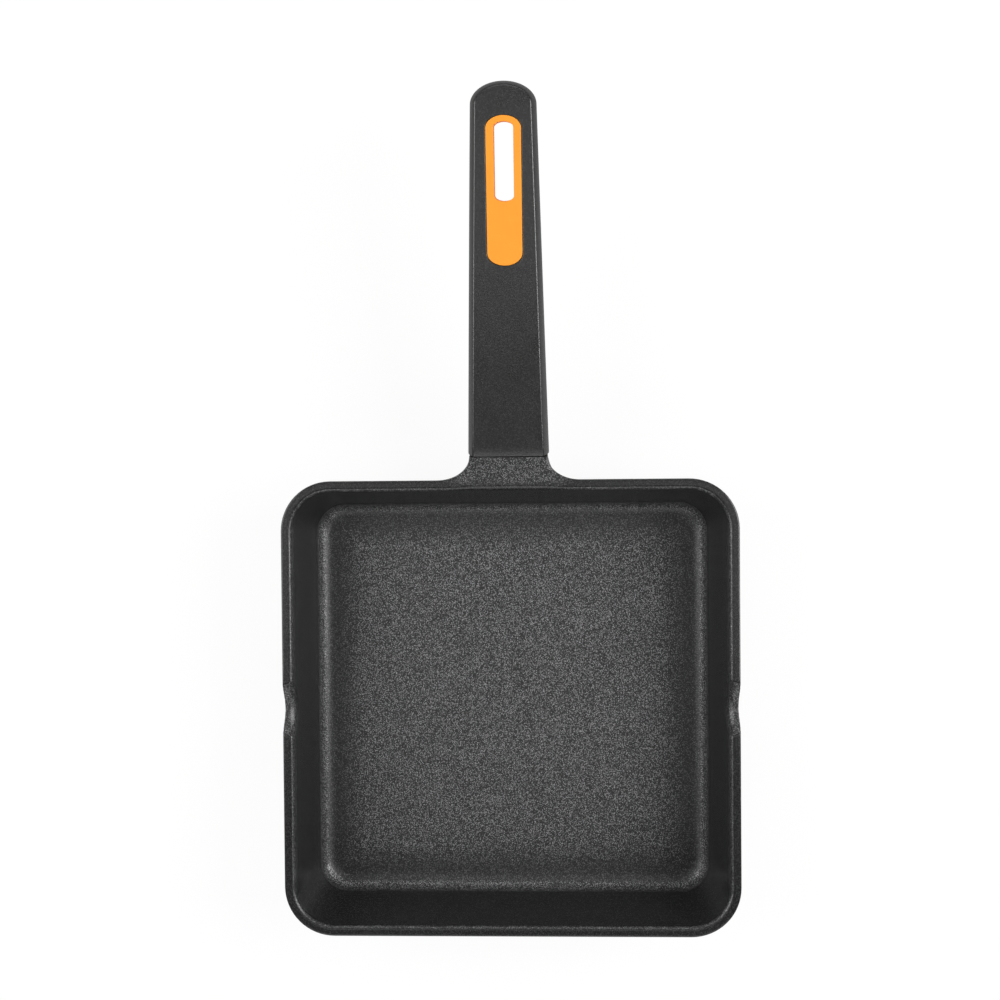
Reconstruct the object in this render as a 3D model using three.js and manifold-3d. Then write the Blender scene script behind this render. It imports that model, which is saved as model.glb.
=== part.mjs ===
// Square cast-aluminium pan with a fixed handle.
//
// The pan is one casting: a tray with flared walls, a rounded rim with a pouring dip on each side,
// and a neck that ends in a tang. A moulded grip slides over the tang and one screw from below holds it.
// An inlay with a hanging slot is let into the grip, and a perforated steel disc is keyed into the base.
//
// Millimetres, +Z up. The origin is the middle of the base, on the hob, and the handle runs along +Y.
// The handle has a frame of its own: x across, y along it from the joint, z square to both.

import * as THREE from "three";
import { mergeVertices } from "three/addons/utils/BufferGeometryUtils.js";
import Module from "manifold-3d";

const wasm = await Module();
wasm.setup();

const { clamp, degToRad, lerp } = THREE.MathUtils;
const RIGHT_ANGLE = Math.PI / 2;

// Tray
const RIM_WIDTH = 222; // outside of the rim, in X and in Y
const CORNER_RADIUS = 24.2; // outside of the rim, seen from above
const PAN_HEIGHT = 46.5; // crest of the rim above the hob
const FLOOR_THICKNESS = 4.5;
const WALL_DRAFT = degToRad(11.5); // lean of the walls from upright
const RIM_THICKNESS = 4.9; // level, from the outer edge to the inner wall
const RIM_BAND_WIDTH = 2.5; // outer part of the rim, from the outer edge to the inner rounding
const RIM_BAND_DROP = 2.2; // fall of that part from the crest to the outer edge
const RIM_BAND_POWER = 6; // 2 would be an ellipse, more is flatter with a tighter edge
const BEAD_RETURN = 0.9; // step of the outer wall below the rim
const BEAD_HEIGHT = 3.4; // height of the rounded underside of the rim
const FLOOR_FILLET = 7.4; // inside, between floor and wall
const CORNER_EASE = 0.33; // radius that the inner corners gain per mm that a ring lies further in
const BASE_FILLET = 9; // outside, between base and wall

// Pouring dips, one in the middle of each side
const SPOUT_DEPTH = 4.4;
const SPOUT_LENGTH = 24; // along the rim, at its outer edge
const SPOUT_LIP = 1.1; // level part of the dip, in from the outer edge of the rim
const SPOUT_ROLL_RUN = 6.3; // rounding from that part down into the inner wall
const SPOUT_ROLL_DROP = 8;

// Neck and tang
const NECK_LENGTH = 10.8; // from the outside of the rim to the joint with the grip
const NECK_FLARE = 16; // widening of each side towards the rim
const NECK_RISE = 1.8; // top of the joint above the crest of the rim
const NECK_STEP = 0.8; // how far the neck stands back from the grip's sides and belly
const NECK_RUNOUT = 13; // fall of the neck's underside from the joint to where it meets the wall
const NECK_LIP = 3.6; // rounding where the top of the neck turns down into the tray
const TANG_WIDTH = 22;
const TANG_LENGTH = 52;
const TANG_COVER = 4.2; // depth of the tang's top below the top of the joint
const TANG_ROUND = 6; // corner radius of the tang's free end

// Grip
const HANDLE_RISE = degToRad(11.5); // slope of the handle's frame
const GRIP_LENGTH = 175;
const GRIP_WIDTH_FRONT = 39.4;
const GRIP_WIDTH_TIP = 30.8; // where the rounded end begins
const GRIP_THICKNESS_FRONT = 20;
const GRIP_THICKNESS_TIP = 14;
const GRIP_ARCH = 2; // rise of the middle of the top above the line between its ends
const GRIP_TIP_DEPTH = 10.6; // length of the rounded end
const GRIP_SIDE_FLARE = 2.6; // how far each side stands out beyond the top face
const GRIP_EDGE = 0.7; // rounding between the top face and the sides
const GRIP_HOLLOW = 0.9; // fall of the middle of the top face below its edges
const GRIP_HOLLOW_START = 90; // from the joint, where the hollow is at its full depth

// Inlay with the hanging slot
const INLAY_WIDTH = 16.4;
const INLAY_LENGTH = 68;
const INLAY_END_DEPTH = 5.8; // length of each rounded end
const INLAY_FROM_TIP = 15.5;
const INLAY_THICKNESS = 3.2; // of the plate, under its nearest end
const SLOT_WIDTH = 9.2;
const SLOT_LENGTH = 36;
const SLOT_END_DEPTH = 2.6; // length of each rounded end
const SLOT_BORDER = 2.7; // inlay left between the slot and the inlay's end
const SLEEVE_WALL = 2.4; // wall of the sleeve that lines the slot through the grip

// Screw and washer
const SCREW_FROM_JOINT = 24;
const SCREW_DIAMETER = 5;
const SCREW_HEAD_DIAMETER = 9;
const SCREW_HEAD_HEIGHT = 2.7;
const SCREW_DRIVE_ACROSS = 3.4; // six-sided recess in the head
const SCREW_DRIVE_DEPTH = 1.7;
const SCREW_SINK = 0.3; // how far the head lies below the grip's surface
const SCREW_SEAT = 2.4; // grip left between the socket and the washer
const SCREW_SHY = 0.7; // from the end of the screw to the top of the tang
const SCREW_CHAMFER = 0.8;
const WASHER_DIAMETER = 9.2;
const WASHER_THICKNESS = 1.1;
const WASHER_SPLIT = 1.4;

// Induction disc
const DISC_MARGIN = 11; // flat of the base left round the disc
const DISC_THICKNESS = 1;
const DISC_HOLE_DIAMETER = 6;
const DISC_HOLE_PITCH = 22; // between the circles that the holes lie on
const DISC_RIM = 9; // least metal outside the outermost holes

// Fits
const GAP = 0.3; // between pieces that seat on or in each other
const COUNTERBORE_GAP = 0.5; // round the head of the screw

// Fineness of round stretches
const CORNER_STEPS = 8;
const FILLET_STEPS = 5;
const FLARE_STEPS = 8;
const BAND_STEPS = 3;
const GRIP_STATIONS = 12;
const TIP_STEPS = 8;
const ROUND_STEPS = 28;

// Tray sizes that follow
const RIM_HALF = RIM_WIDTH / 2;
const CORNER_CENTRE = RIM_HALF - CORNER_RADIUS; // middle of each corner's arc
const EDGE_Z = PAN_HEIGHT - RIM_BAND_DROP; // outer edge of the rim
const RIM_EDGE = RIM_THICKNESS - RIM_BAND_WIDTH; // rounding at the inner edge of the rim
const outerInset = (z) => BEAD_RETURN + (EDGE_Z - z) * Math.tan(WALL_DRAFT);
const innerInset = (z) => RIM_THICKNESS + (PAN_HEIGHT - z) * Math.tan(WALL_DRAFT);
const BASE_FILLET_TOP = BASE_FILLET * (1 - Math.sin(WALL_DRAFT));
const BASE_INSET = outerInset(BASE_FILLET_TOP) + BASE_FILLET * Math.cos(WALL_DRAFT);
const FLOOR_FILLET_TOP = FLOOR_THICKNESS + FLOOR_FILLET * (1 - Math.sin(WALL_DRAFT));
const FLOOR_INSET = innerInset(FLOOR_FILLET_TOP) + FLOOR_FILLET * Math.cos(WALL_DRAFT);

// Handle sizes that follow
const NECK_HALF = GRIP_WIDTH_FRONT / 2 - NECK_STEP;
const NECK_THICKNESS = GRIP_THICKNESS_FRONT - NECK_STEP;
const FLARE_END = NECK_HALF + NECK_FLARE;
const JOINT_Y = RIM_HALF + NECK_LENGTH;
const JOINT_Z = PAN_HEIGHT + NECK_RISE;
const TIP_START = GRIP_LENGTH - GRIP_TIP_DEPTH;
const INLAY_MIDDLE = GRIP_LENGTH - INLAY_FROM_TIP - INLAY_LENGTH / 2;
const SLOT_MIDDLE = GRIP_LENGTH - INLAY_FROM_TIP - SLOT_BORDER - SLOT_LENGTH / 2;
const PLATE_UNDERSIDE = gripTop(GRIP_LENGTH - INLAY_FROM_TIP) - INLAY_THICKNESS;

// The screw's seat is measured up from the belly, and the tang fills what is left above it
const BELLY_Z = gripTop(SCREW_FROM_JOINT) - gripThickness(SCREW_FROM_JOINT);
const HEAD_TOP = BELLY_Z + SCREW_SINK + SCREW_HEAD_HEIGHT;
const WASHER_UNDERSIDE = HEAD_TOP + GAP;
const SEAT_Z = WASHER_UNDERSIDE + WASHER_THICKNESS + GAP;
const SOCKET_FLOOR = SEAT_Z + SCREW_SEAT;
const TANG_UNDERSIDE = SOCKET_FLOOR + GAP;
const TANG_TOP = -TANG_COVER;

const DISC_RADIUS = RIM_HALF - BASE_INSET - DISC_MARGIN;
const DISC_RECESS = DISC_THICKNESS + GAP;

// The handle's frame
const handle = new THREE.Group();
handle.position.set(0, JOINT_Y, JOINT_Z);
handle.rotation.x = HANDLE_RISE;
handle.updateMatrix();

// Height of the grip's top face, and its thickness, at a distance y from the joint
function gripTop(y) {
  const along = y / GRIP_LENGTH;
  return 4 * GRIP_ARCH * along * (1 - along);
}

function gripThickness(y) {
  return lerp(GRIP_THICKNESS_FRONT, GRIP_THICKNESS_TIP, y / GRIP_LENGTH);
}

// Solids, for joining and cutting, and the geometry that comes back from them

function solidOf(geometry) {
  const bare = geometry.clone();
  bare.deleteAttribute("normal");
  bare.deleteAttribute("uv");
  const merged = mergeVertices(bare, 1e-4);
  return new wasm.Manifold(
    new wasm.Mesh({
      numProp: 3,
      vertProperties: new Float32Array(merged.attributes.position.array),
      triVerts: new Uint32Array(merged.index.array),
    }),
  );
}

function geometryOf(solid) {
  const mesh = solid.getMesh();
  const geometry = new THREE.BufferGeometry();
  geometry.setAttribute("position", new THREE.BufferAttribute(mesh.vertProperties, 3));
  geometry.setIndex(new THREE.BufferAttribute(mesh.triVerts, 1));
  geometry.computeVertexNormals();
  return geometry;
}

function prism(shape, zStart, zEnd, steps = 12) {
  const depth = zEnd - zStart;
  const geometry = new THREE.ExtrudeGeometry(shape, { depth, bevelEnabled: false, curveSegments: steps });
  return solidOf(geometry.translate(0, 0, zStart));
}

function cylinder(radius, x, y, zStart, zEnd, steps = ROUND_STEPS) {
  const geometry = new THREE.CylinderGeometry(radius, radius, zEnd - zStart, steps);
  return solidOf(geometry.rotateX(RIGHT_ANGLE).translate(x, y, (zStart + zEnd) / 2));
}

function skin(points, triangles) {
  const geometry = new THREE.BufferGeometry().setFromPoints(points);
  geometry.setIndex(triangles);
  return solidOf(geometry);
}

// Triangles between rings that follow one another and have equally many points
function bandTriangles(ringCount, perRing) {
  const triangles = [];
  for (let ring = 0; ring < ringCount - 1; ring++) {
    for (let i = 0; i < perRing; i++) {
      const a = ring * perRing + i;
      const b = ring * perRing + ((i + 1) % perRing);
      triangles.push(a, b, b + perRing, a, b + perRing, a + perRing);
    }
  }
  return triangles;
}

// Tray: rings of points that follow the wall's profile, with the neck drawn out of the side at +Y

// Share of the neck's length that its flared side reaches at a distance x from the middle
function neckShare(x) {
  const across = clamp((FLARE_END - Math.abs(x)) / NECK_FLARE, 0, 1);
  return 1 - Math.sqrt(1 - across * across);
}

function flareStop(share) {
  return FLARE_END - NECK_FLARE * Math.sin(share * RIGHT_ANGLE);
}

const FLARE_LINE_POINTS = FLARE_STEPS * 8;
const flareLine = Array.from({ length: FLARE_LINE_POINTS + 1 }, (_, i) => {
  const x = flareStop(i / FLARE_LINE_POINTS);
  return new THREE.Vector2(x, RIM_HALF + NECK_LENGTH * neckShare(x));
});

// Distance from a point on top of the neck to its flared sides
function flareDistance(x, y) {
  const point = new THREE.Vector2(Math.abs(x), y);
  return Math.min(...flareLine.map((stop) => stop.distanceTo(point)));
}

// Fall of a rounding, "reach" wide and "drop" high, at a distance from its edge
function roundingFall(distance, reach, drop, power) {
  const inside = clamp(1 - distance / reach, 0, 1);
  return drop * (1 - (1 - inside ** power) ** (1 / power));
}

// Rise of the neck's top above the crest of the rim
function neckTop(y) {
  const crestY = RIM_HALF - RIM_BAND_WIDTH;
  const along = clamp((y - crestY) / (JOINT_Y - crestY), 0, 1);
  return NECK_RISE * along * along;
}

// Columns of the outline: the corner or side point that each stands on, the sides of the square that it
// lies at, and its outward direction
function trayColumns() {
  const stops = [];
  for (let i = 0; i <= FLARE_STEPS; i++) stops.push(flareStop(i / FLARE_STEPS));
  for (let i = 1; i <= BAND_STEPS; i++) stops.push(NECK_HALF - (RIM_BAND_WIDTH * i) / BAND_STEPS);
  stops.push((NECK_HALF - RIM_BAND_WIDTH) / 2);
  const mirrored = stops.map((x) => -x).reverse();
  const side = { y: CORNER_CENTRE, sideX: 0, sideY: 1, dx: 0, dy: 1 };
  const columns = [...stops, 0, ...mirrored].map((x) => ({ x, ...side }));
  for (let corner = 1; corner <= 4; corner++) {
    const middle = (corner + 0.5) * RIGHT_ANGLE;
    const sideX = Math.sign(Math.cos(middle));
    const sideY = Math.sign(Math.sin(middle));
    for (let i = 0; i <= CORNER_STEPS; i++) {
      const angle = (corner + i / CORNER_STEPS) * RIGHT_ANGLE;
      columns.push({
        x: CORNER_CENTRE * sideX,
        y: CORNER_CENTRE * sideY,
        sideX,
        sideY,
        dx: Math.cos(angle),
        dy: Math.sin(angle),
      });
    }
  }
  return columns;
}

// A point on the joint's plane, below the middle of its top
function onJoint(down) {
  const point = new THREE.Vector3(0, 0, -down).applyMatrix4(handle.matrix);
  return new THREE.Vector2(point.y, point.z);
}

// Rings from the base to the floor. "inset" is the distance in from the rim's outer edge, and "neck"
// is where the ring runs on the middle of the neck, whose underside is a quarter of an ellipse.
function trayRings() {
  const rings = [];
  for (let i = 0; i <= FILLET_STEPS; i++) {
    const angle = lerp(-RIGHT_ANGLE, -WALL_DRAFT, i / FILLET_STEPS);
    const inset = BASE_INSET - BASE_FILLET * Math.cos(angle);
    rings.push({ inset, z: BASE_FILLET * (1 + Math.sin(angle)) });
  }

  const heel = onJoint(NECK_THICKNESS);
  const footZ = heel.y - NECK_RUNOUT;
  const footY = RIM_HALF - outerInset(footZ);
  const neck = [];
  for (let i = 0; i <= FILLET_STEPS; i++) {
    const angle = (i / FILLET_STEPS) * RIGHT_ANGLE;
    const y = heel.x - (heel.x - footY) * Math.cos(angle);
    neck.push(new THREE.Vector2(y, footZ + NECK_RUNOUT * Math.sin(angle)));
  }
  neck.push(onJoint(NECK_THICKNESS * 0.6), onJoint(NECK_THICKNESS * 0.3));
  const beadZ = EDGE_Z - BEAD_HEIGHT;
  neck.forEach((place, i) => {
    const z = lerp(footZ, beadZ, i / (neck.length - 1));
    rings.push({ inset: outerInset(z), z, neck: place });
  });
  const beadMiddle = EDGE_Z - BEAD_HEIGHT / 2;
  rings.push({ inset: BEAD_RETURN / 2, z: beadMiddle, neck: onJoint(NECK_THICKNESS * 0.2) });

  for (let i = 0; i <= FILLET_STEPS; i++) {
    const inset = RIM_BAND_WIDTH * (1 - Math.cos((i / FILLET_STEPS) * RIGHT_ANGLE));
    rings.push({ inset, onTop: true });
  }
  for (let i = 1; i <= BAND_STEPS; i++) {
    const inset = RIM_BAND_WIDTH + RIM_EDGE * Math.sin((i / BAND_STEPS) * RIGHT_ANGLE);
    rings.push({ inset, onTop: true });
  }

  for (let i = 0; i <= FILLET_STEPS; i++) {
    const angle = lerp(-WALL_DRAFT, -RIGHT_ANGLE, i / FILLET_STEPS);
    const inset = FLOOR_INSET - FLOOR_FILLET * Math.cos(angle);
    const ease = CORNER_EASE * (inset - RIM_THICKNESS);
    rings.push({ inset, ease, z: FLOOR_THICKNESS + FLOOR_FILLET * (1 + Math.sin(angle)) });
  }
  return rings;
}

function trayPoint(column, ring) {
  const ease = ring.ease ?? 0;
  const out = CORNER_RADIUS - ring.inset + ease;
  const x = column.x - column.sideX * ease + column.dx * out;
  const y = column.y - column.sideY * ease + column.dy * out;
  const point = new THREE.Vector3(x, y, ring.z);
  const onNeck = column.dy === 1 && Math.abs(column.x) < FLARE_END;
  const share = onNeck ? neckShare(column.x) : 0;

  if (ring.onTop) {
    let edgeDistance = ring.inset;
    if (onNeck && ring.inset <= RIM_BAND_WIDTH) {
      const endY = RIM_HALF + NECK_LENGTH * share;
      point.y = lerp(endY, RIM_HALF - RIM_BAND_WIDTH, ring.inset / RIM_BAND_WIDTH);
    }
    if (onNeck) edgeDistance = flareDistance(point.x, point.y);
    const innerDistance = onNeck ? point.y - (RIM_HALF - RIM_THICKNESS) : RIM_THICKNESS - ring.inset;
    const lip = lerp(RIM_EDGE, NECK_LIP, share);
    const rise = onNeck ? neckTop(point.y) : 0;
    const fall = roundingFall(edgeDistance, RIM_BAND_WIDTH, RIM_BAND_DROP, RIM_BAND_POWER);
    point.z = PAN_HEIGHT + rise - fall - roundingFall(innerDistance, lip, lip, 2);
  } else if (onNeck && ring.neck) {
    point.y = lerp(point.y, ring.neck.x, share);
    point.z = lerp(point.z, ring.neck.y, share);
  }
  return point;
}

function tray() {
  const columns = trayColumns();
  const rings = trayRings();
  const points = rings.flatMap((ring) => columns.map((column) => trayPoint(column, ring)));
  const triangles = bandTriangles(rings.length, columns.length);
  const baseMiddle = points.push(new THREE.Vector3(0, 0, 0)) - 1;
  const floorMiddle = points.push(new THREE.Vector3(0, 0, FLOOR_THICKNESS)) - 1;
  const lastRing = (rings.length - 1) * columns.length;
  for (let i = 0; i < columns.length; i++) {
    const next = (i + 1) % columns.length;
    triangles.push(baseMiddle, next, i);
    triangles.push(floorMiddle, lastRing + i, lastRing + next);
  }
  return skin(points, triangles);
}

// A turned form across both sides of the rim, which leaves a dip of the given depth and length in each.
// It grows thicker inside the rim, so the dip rolls down into the inner wall.
function spoutCutter() {
  const half = SPOUT_LENGTH / 2;
  const radius = (half * half + SPOUT_DEPTH * SPOUT_DEPTH) / (2 * SPOUT_DEPTH);
  const end = RIM_HALF + CORNER_RADIUS;
  const profile = [new THREE.Vector2(0, end), new THREE.Vector2(radius, end)];
  for (let i = 0; i <= FILLET_STEPS; i++) {
    const angle = (i / FILLET_STEPS) * RIGHT_ANGLE;
    const x = RIM_HALF - SPOUT_LIP - SPOUT_ROLL_RUN * Math.sin(angle);
    profile.push(new THREE.Vector2(radius + SPOUT_ROLL_DROP * (1 - Math.cos(angle)), x));
  }
  const mirrored = profile.map((point) => new THREE.Vector2(point.x, -point.y)).reverse();
  const geometry = new THREE.LatheGeometry([...profile, ...mirrored].reverse(), ROUND_STEPS * 4);
  geometry.rotateZ(RIGHT_ANGLE).translate(0, 0, PAN_HEIGHT - SPOUT_DEPTH + radius);
  return solidOf(geometry);
}

// The tang starts inside the neck and has a hole for the screw
function tang() {
  const half = TANG_WIDTH / 2;
  const roundStart = TANG_LENGTH - TANG_ROUND;
  const shape = new THREE.Shape();
  shape.moveTo(-half, -NECK_LENGTH / 2);
  shape.lineTo(half, -NECK_LENGTH / 2);
  shape.lineTo(half, roundStart);
  shape.absarc(half - TANG_ROUND, roundStart, TANG_ROUND, 0, RIGHT_ANGLE, false);
  shape.absarc(TANG_ROUND - half, roundStart, TANG_ROUND, RIGHT_ANGLE, Math.PI, false);
  shape.closePath();
  const bar = prism(shape, TANG_UNDERSIDE, TANG_TOP, CORNER_STEPS);
  const holeRadius = SCREW_DIAMETER / 2 + GAP;
  const hole = cylinder(holeRadius, 0, SCREW_FROM_JOINT, TANG_UNDERSIDE - 1, TANG_TOP + 1);
  return solidOf(geometryOf(bar.subtract(hole)).applyMatrix4(handle.matrix));
}

// Middles of the disc's holes, on circles about the middle of the base
function discHolePlaces() {
  const places = [];
  const outermost = DISC_RADIUS - DISC_RIM - DISC_HOLE_DIAMETER / 2;
  for (let circle = 1; circle * DISC_HOLE_PITCH <= outermost; circle++) {
    const count = 6 * circle;
    for (let i = 0; i < count; i++) {
      const angle = (2 * Math.PI * i) / count;
      const radius = circle * DISC_HOLE_PITCH;
      places.push(new THREE.Vector2(radius * Math.cos(angle), radius * Math.sin(angle)));
    }
  }
  return places;
}

// The casting, with a recess for the disc in which studs stand where the disc has its holes
function panBody() {
  let recess = cylinder(DISC_RADIUS + GAP, 0, 0, -1, DISC_RECESS, ROUND_STEPS * 3);
  for (const place of discHolePlaces()) {
    const stud = cylinder(DISC_HOLE_DIAMETER / 2 - GAP, place.x, place.y, 0, DISC_RECESS + 1, 10);
    recess = recess.subtract(stud);
  }
  return tray().subtract(spoutCutter()).add(tang()).subtract(recess);
}

function inductionDisc() {
  let disc = cylinder(DISC_RADIUS, 0, 0, 0, DISC_THICKNESS, ROUND_STEPS * 3);
  for (const place of discHolePlaces()) {
    const hole = cylinder(DISC_HOLE_DIAMETER / 2, place.x, place.y, -1, DISC_THICKNESS + 1, 10);
    disc = disc.subtract(hole);
  }
  return disc;
}

// Grip: outlines seen from above, stacked from the top face down to the belly.
// "inset" is measured in from the widest outline, "depth" as a share of the thickness.
const GRIP_LAYERS = [
  { inset: GRIP_SIDE_FLARE + GRIP_EDGE, depth: 0 },
  { inset: GRIP_SIDE_FLARE + GRIP_EDGE * 0.3, depth: 0.012 },
  { inset: GRIP_SIDE_FLARE - GRIP_EDGE * 0.2, depth: 0.05 },
  { inset: GRIP_SIDE_FLARE * 0.42, depth: 0.2 },
  { inset: GRIP_SIDE_FLARE * 0.1, depth: 0.37 },
  { inset: 0, depth: 0.5 },
  { inset: 0.5, depth: 0.64 },
  { inset: 1.9, depth: 0.78 },
  { inset: 4.2, depth: 0.89 },
  { inset: 7.2, depth: 0.96 },
];
const LAST_LAYER = GRIP_LAYERS.length - 1;
const GRIP_BELLY = GRIP_THICKNESS_FRONT * (1 - GRIP_LAYERS[LAST_LAYER].depth);

// One outline: the middle of the front, the right side, the tip and the left side
function gripOutline({ inset, depth }, frontRise) {
  const halfWidth = (y) => lerp(GRIP_WIDTH_FRONT, GRIP_WIDTH_TIP, y / TIP_START) / 2 - inset;
  const place = (x, y) => new THREE.Vector3(x, y, gripTop(y) - depth * gripThickness(y));
  const side = [];
  for (let i = 0; i < GRIP_STATIONS; i++) {
    const y = lerp(GAP, TIP_START, i / GRIP_STATIONS);
    side.push(place(halfWidth(y), y));
  }
  for (let i = 0; i < TIP_STEPS; i++) {
    const angle = (i / TIP_STEPS) * RIGHT_ANGLE;
    const y = TIP_START + (GRIP_TIP_DEPTH - inset) * Math.sin(angle);
    side.push(place(halfWidth(TIP_START) * Math.cos(angle), y));
  }
  const front = place(0, GAP);
  front.z += frontRise;
  const mirrored = side.map((point) => new THREE.Vector3(-point.x, point.y, point.z)).reverse();
  return [front, ...side, place(0, GRIP_LENGTH - inset), ...mirrored];
}

// Covers the outline that starts at an index. "rise" lifts the middle of the cover at a distance y from
// the joint, and the cover is a parabola across, with points at its middle and at its quarters.
function closeOutline(points, triangles, start, perRing, rise, facesUp) {
  const sideCount = (perRing - 2) / 2;
  const add = (a, b, c) => (facesUp ? triangles.push(a, b, c) : triangles.push(a, c, b));
  let row = [start + 1, start + 1, start, start + perRing - 1, start + perRing - 1];
  for (let i = 2; i <= sideCount; i++) {
    const edge = points[start + i];
    const height = rise(edge.y) * Math.min(1, edge.x / (GRIP_WIDTH_TIP / 4));
    const inner = [0.5, 0, -0.5].map((share) => {
      const point = new THREE.Vector3(edge.x * share, edge.y, edge.z + height * (1 - share * share));
      return points.push(point) - 1;
    });
    const next = [start + i, ...inner, start + perRing - i];
    for (let k = 0; k < 4; k++) {
      if (row[k] !== row[k + 1]) add(row[k], next[k + 1], row[k + 1]);
      add(row[k], next[k], next[k + 1]);
    }
    row = next;
  }
  const tip = start + sideCount + 1;
  for (let k = 0; k < 4; k++) add(row[k], tip, row[k + 1]);
}

const topRise = (y) => -GRIP_HOLLOW * Math.min(1, y / GRIP_HOLLOW_START);
const bellyRise = () => -GRIP_BELLY;

// The grip before anything is cut out of it
function gripEnvelope() {
  const rings = GRIP_LAYERS.map((layer, i) => gripOutline(layer, i === LAST_LAYER ? -GRIP_BELLY : 0));
  const perRing = rings[0].length;
  const points = rings.flat();
  const triangles = bandTriangles(rings.length, perRing).reverse();
  closeOutline(points, triangles, 0, perRing, topRise, true);
  closeOutline(points, triangles, LAST_LAYER * perRing, perRing, bellyRise, false);
  return skin(points, triangles);
}

// A prism square to the handle, over an oval with straight sides and half-elliptic ends
function ovalPrism(width, length, endDepth, middle, zStart) {
  const half = width / 2;
  const straight = length / 2 - endDepth;
  const shape = new THREE.Shape();
  shape.moveTo(half, middle - straight);
  shape.lineTo(half, middle + straight);
  shape.absellipse(0, middle + straight, half, endDepth, 0, Math.PI, false);
  shape.lineTo(-half, middle - straight);
  shape.absellipse(0, middle - straight, half, endDepth, Math.PI, 2 * Math.PI, false);
  return prism(shape, zStart, GRIP_THICKNESS_FRONT, TIP_STEPS * 2);
}

const THROUGH = -2 * GRIP_THICKNESS_FRONT; // well below the belly, for cuts right through

// The inlay's plate and the sleeve round its slot, grown all round by a clearance
function inlayPrism(grow) {
  const width = INLAY_WIDTH + 2 * grow;
  const length = INLAY_LENGTH + 2 * grow;
  const plate = ovalPrism(width, length, INLAY_END_DEPTH + grow, INLAY_MIDDLE, PLATE_UNDERSIDE - grow);
  const wall = SLEEVE_WALL + grow;
  const sleeveWidth = SLOT_WIDTH + 2 * wall;
  const sleeveLength = SLOT_LENGTH + 2 * wall;
  return plate.add(ovalPrism(sleeveWidth, sleeveLength, SLOT_END_DEPTH + wall, SLOT_MIDDLE, THROUGH));
}

function hangingInlay() {
  const slot = ovalPrism(SLOT_WIDTH, SLOT_LENGTH, SLOT_END_DEPTH, SLOT_MIDDLE, THROUGH);
  return inlayPrism(0).intersect(gripEnvelope()).subtract(slot);
}

function handleGrip() {
  const half = TANG_WIDTH / 2 + GAP;
  const socket = new THREE.Shape([
    new THREE.Vector2(-half, -1),
    new THREE.Vector2(half, -1),
    new THREE.Vector2(half, TANG_LENGTH + GAP),
    new THREE.Vector2(-half, TANG_LENGTH + GAP),
  ]);
  const bore = SCREW_DIAMETER / 2 + GAP;
  const counterbore = Math.max(SCREW_HEAD_DIAMETER, WASHER_DIAMETER) / 2 + COUNTERBORE_GAP;
  return gripEnvelope()
    .subtract(inlayPrism(GAP))
    .subtract(prism(socket, SOCKET_FLOOR, TANG_TOP + GAP))
    .subtract(cylinder(bore, 0, SCREW_FROM_JOINT, SEAT_Z - 1, SOCKET_FLOOR + 1))
    .subtract(cylinder(counterbore, 0, SCREW_FROM_JOINT, THROUGH, SEAT_Z));
}

// The screw's head faces down, and its shank reaches up into the tang
function handleScrew() {
  const head = SCREW_HEAD_DIAMETER / 2;
  const shank = SCREW_DIAMETER / 2;
  const headFace = HEAD_TOP - SCREW_HEAD_HEIGHT;
  const shankEnd = TANG_TOP - SCREW_SHY;
  const profile = [
    new THREE.Vector2(0, headFace),
    new THREE.Vector2(head * 0.6, headFace),
    new THREE.Vector2(head * 0.88, headFace + SCREW_HEAD_HEIGHT * 0.2),
    new THREE.Vector2(head, headFace + SCREW_HEAD_HEIGHT * 0.55),
    new THREE.Vector2(head, HEAD_TOP),
    new THREE.Vector2(shank, HEAD_TOP),
    new THREE.Vector2(shank, shankEnd - SCREW_CHAMFER),
    new THREE.Vector2(shank - SCREW_CHAMFER, shankEnd),
    new THREE.Vector2(0, shankEnd),
  ];
  const turned = new THREE.LatheGeometry(profile, ROUND_STEPS).rotateX(RIGHT_ANGLE);
  const driveRadius = SCREW_DRIVE_ACROSS / Math.sqrt(3);
  const drive = cylinder(driveRadius, 0, SCREW_FROM_JOINT, headFace - 1, headFace + SCREW_DRIVE_DEPTH, 6);
  return solidOf(turned.translate(0, SCREW_FROM_JOINT, 0)).subtract(drive);
}

// A ring with one split
function springWasher() {
  const outside = WASHER_DIAMETER / 2;
  const inside = SCREW_DIAMETER / 2 + GAP;
  const split = Math.asin(WASHER_SPLIT / 2 / outside);
  const ring = new THREE.Shape();
  ring.absarc(0, SCREW_FROM_JOINT, outside, split, 2 * Math.PI - split, false);
  ring.absarc(0, SCREW_FROM_JOINT, inside, 2 * Math.PI - split, split, true);
  ring.closePath();
  return prism(ring, WASHER_UNDERSIDE, WASHER_UNDERSIDE + WASHER_THICKNESS, ROUND_STEPS);
}

// Finishes, as colour, roughness and metalness
const COATING = { color: 0x3c3d3d, roughness: 0.5, metalness: 0.35 };
const PHENOLIC = { color: 0x2a292a, roughness: 0.6, metalness: 0 };
const ORANGE = { color: 0xf28c1e, roughness: 0.5, metalness: 0 };
const STEEL = { color: 0xb8b8b6, roughness: 0.35, metalness: 1 };

function piece(name, solid, finish) {
  const mesh = new THREE.Mesh(geometryOf(solid), new THREE.MeshStandardMaterial(finish));
  mesh.name = name;
  return mesh;
}

// Assembly
handle.add(piece("handle_grip", handleGrip(), PHENOLIC));
handle.add(piece("hanging_inlay", hangingInlay(), ORANGE));
handle.add(piece("handle_screw", handleScrew(), STEEL));
handle.add(piece("spring_washer", springWasher(), STEEL));

const pan = new THREE.Group();
pan.add(piece("pan_body", panBody(), COATING));
pan.add(piece("induction_disc", inductionDisc(), STEEL));
pan.add(handle);

export default pan;
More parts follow.
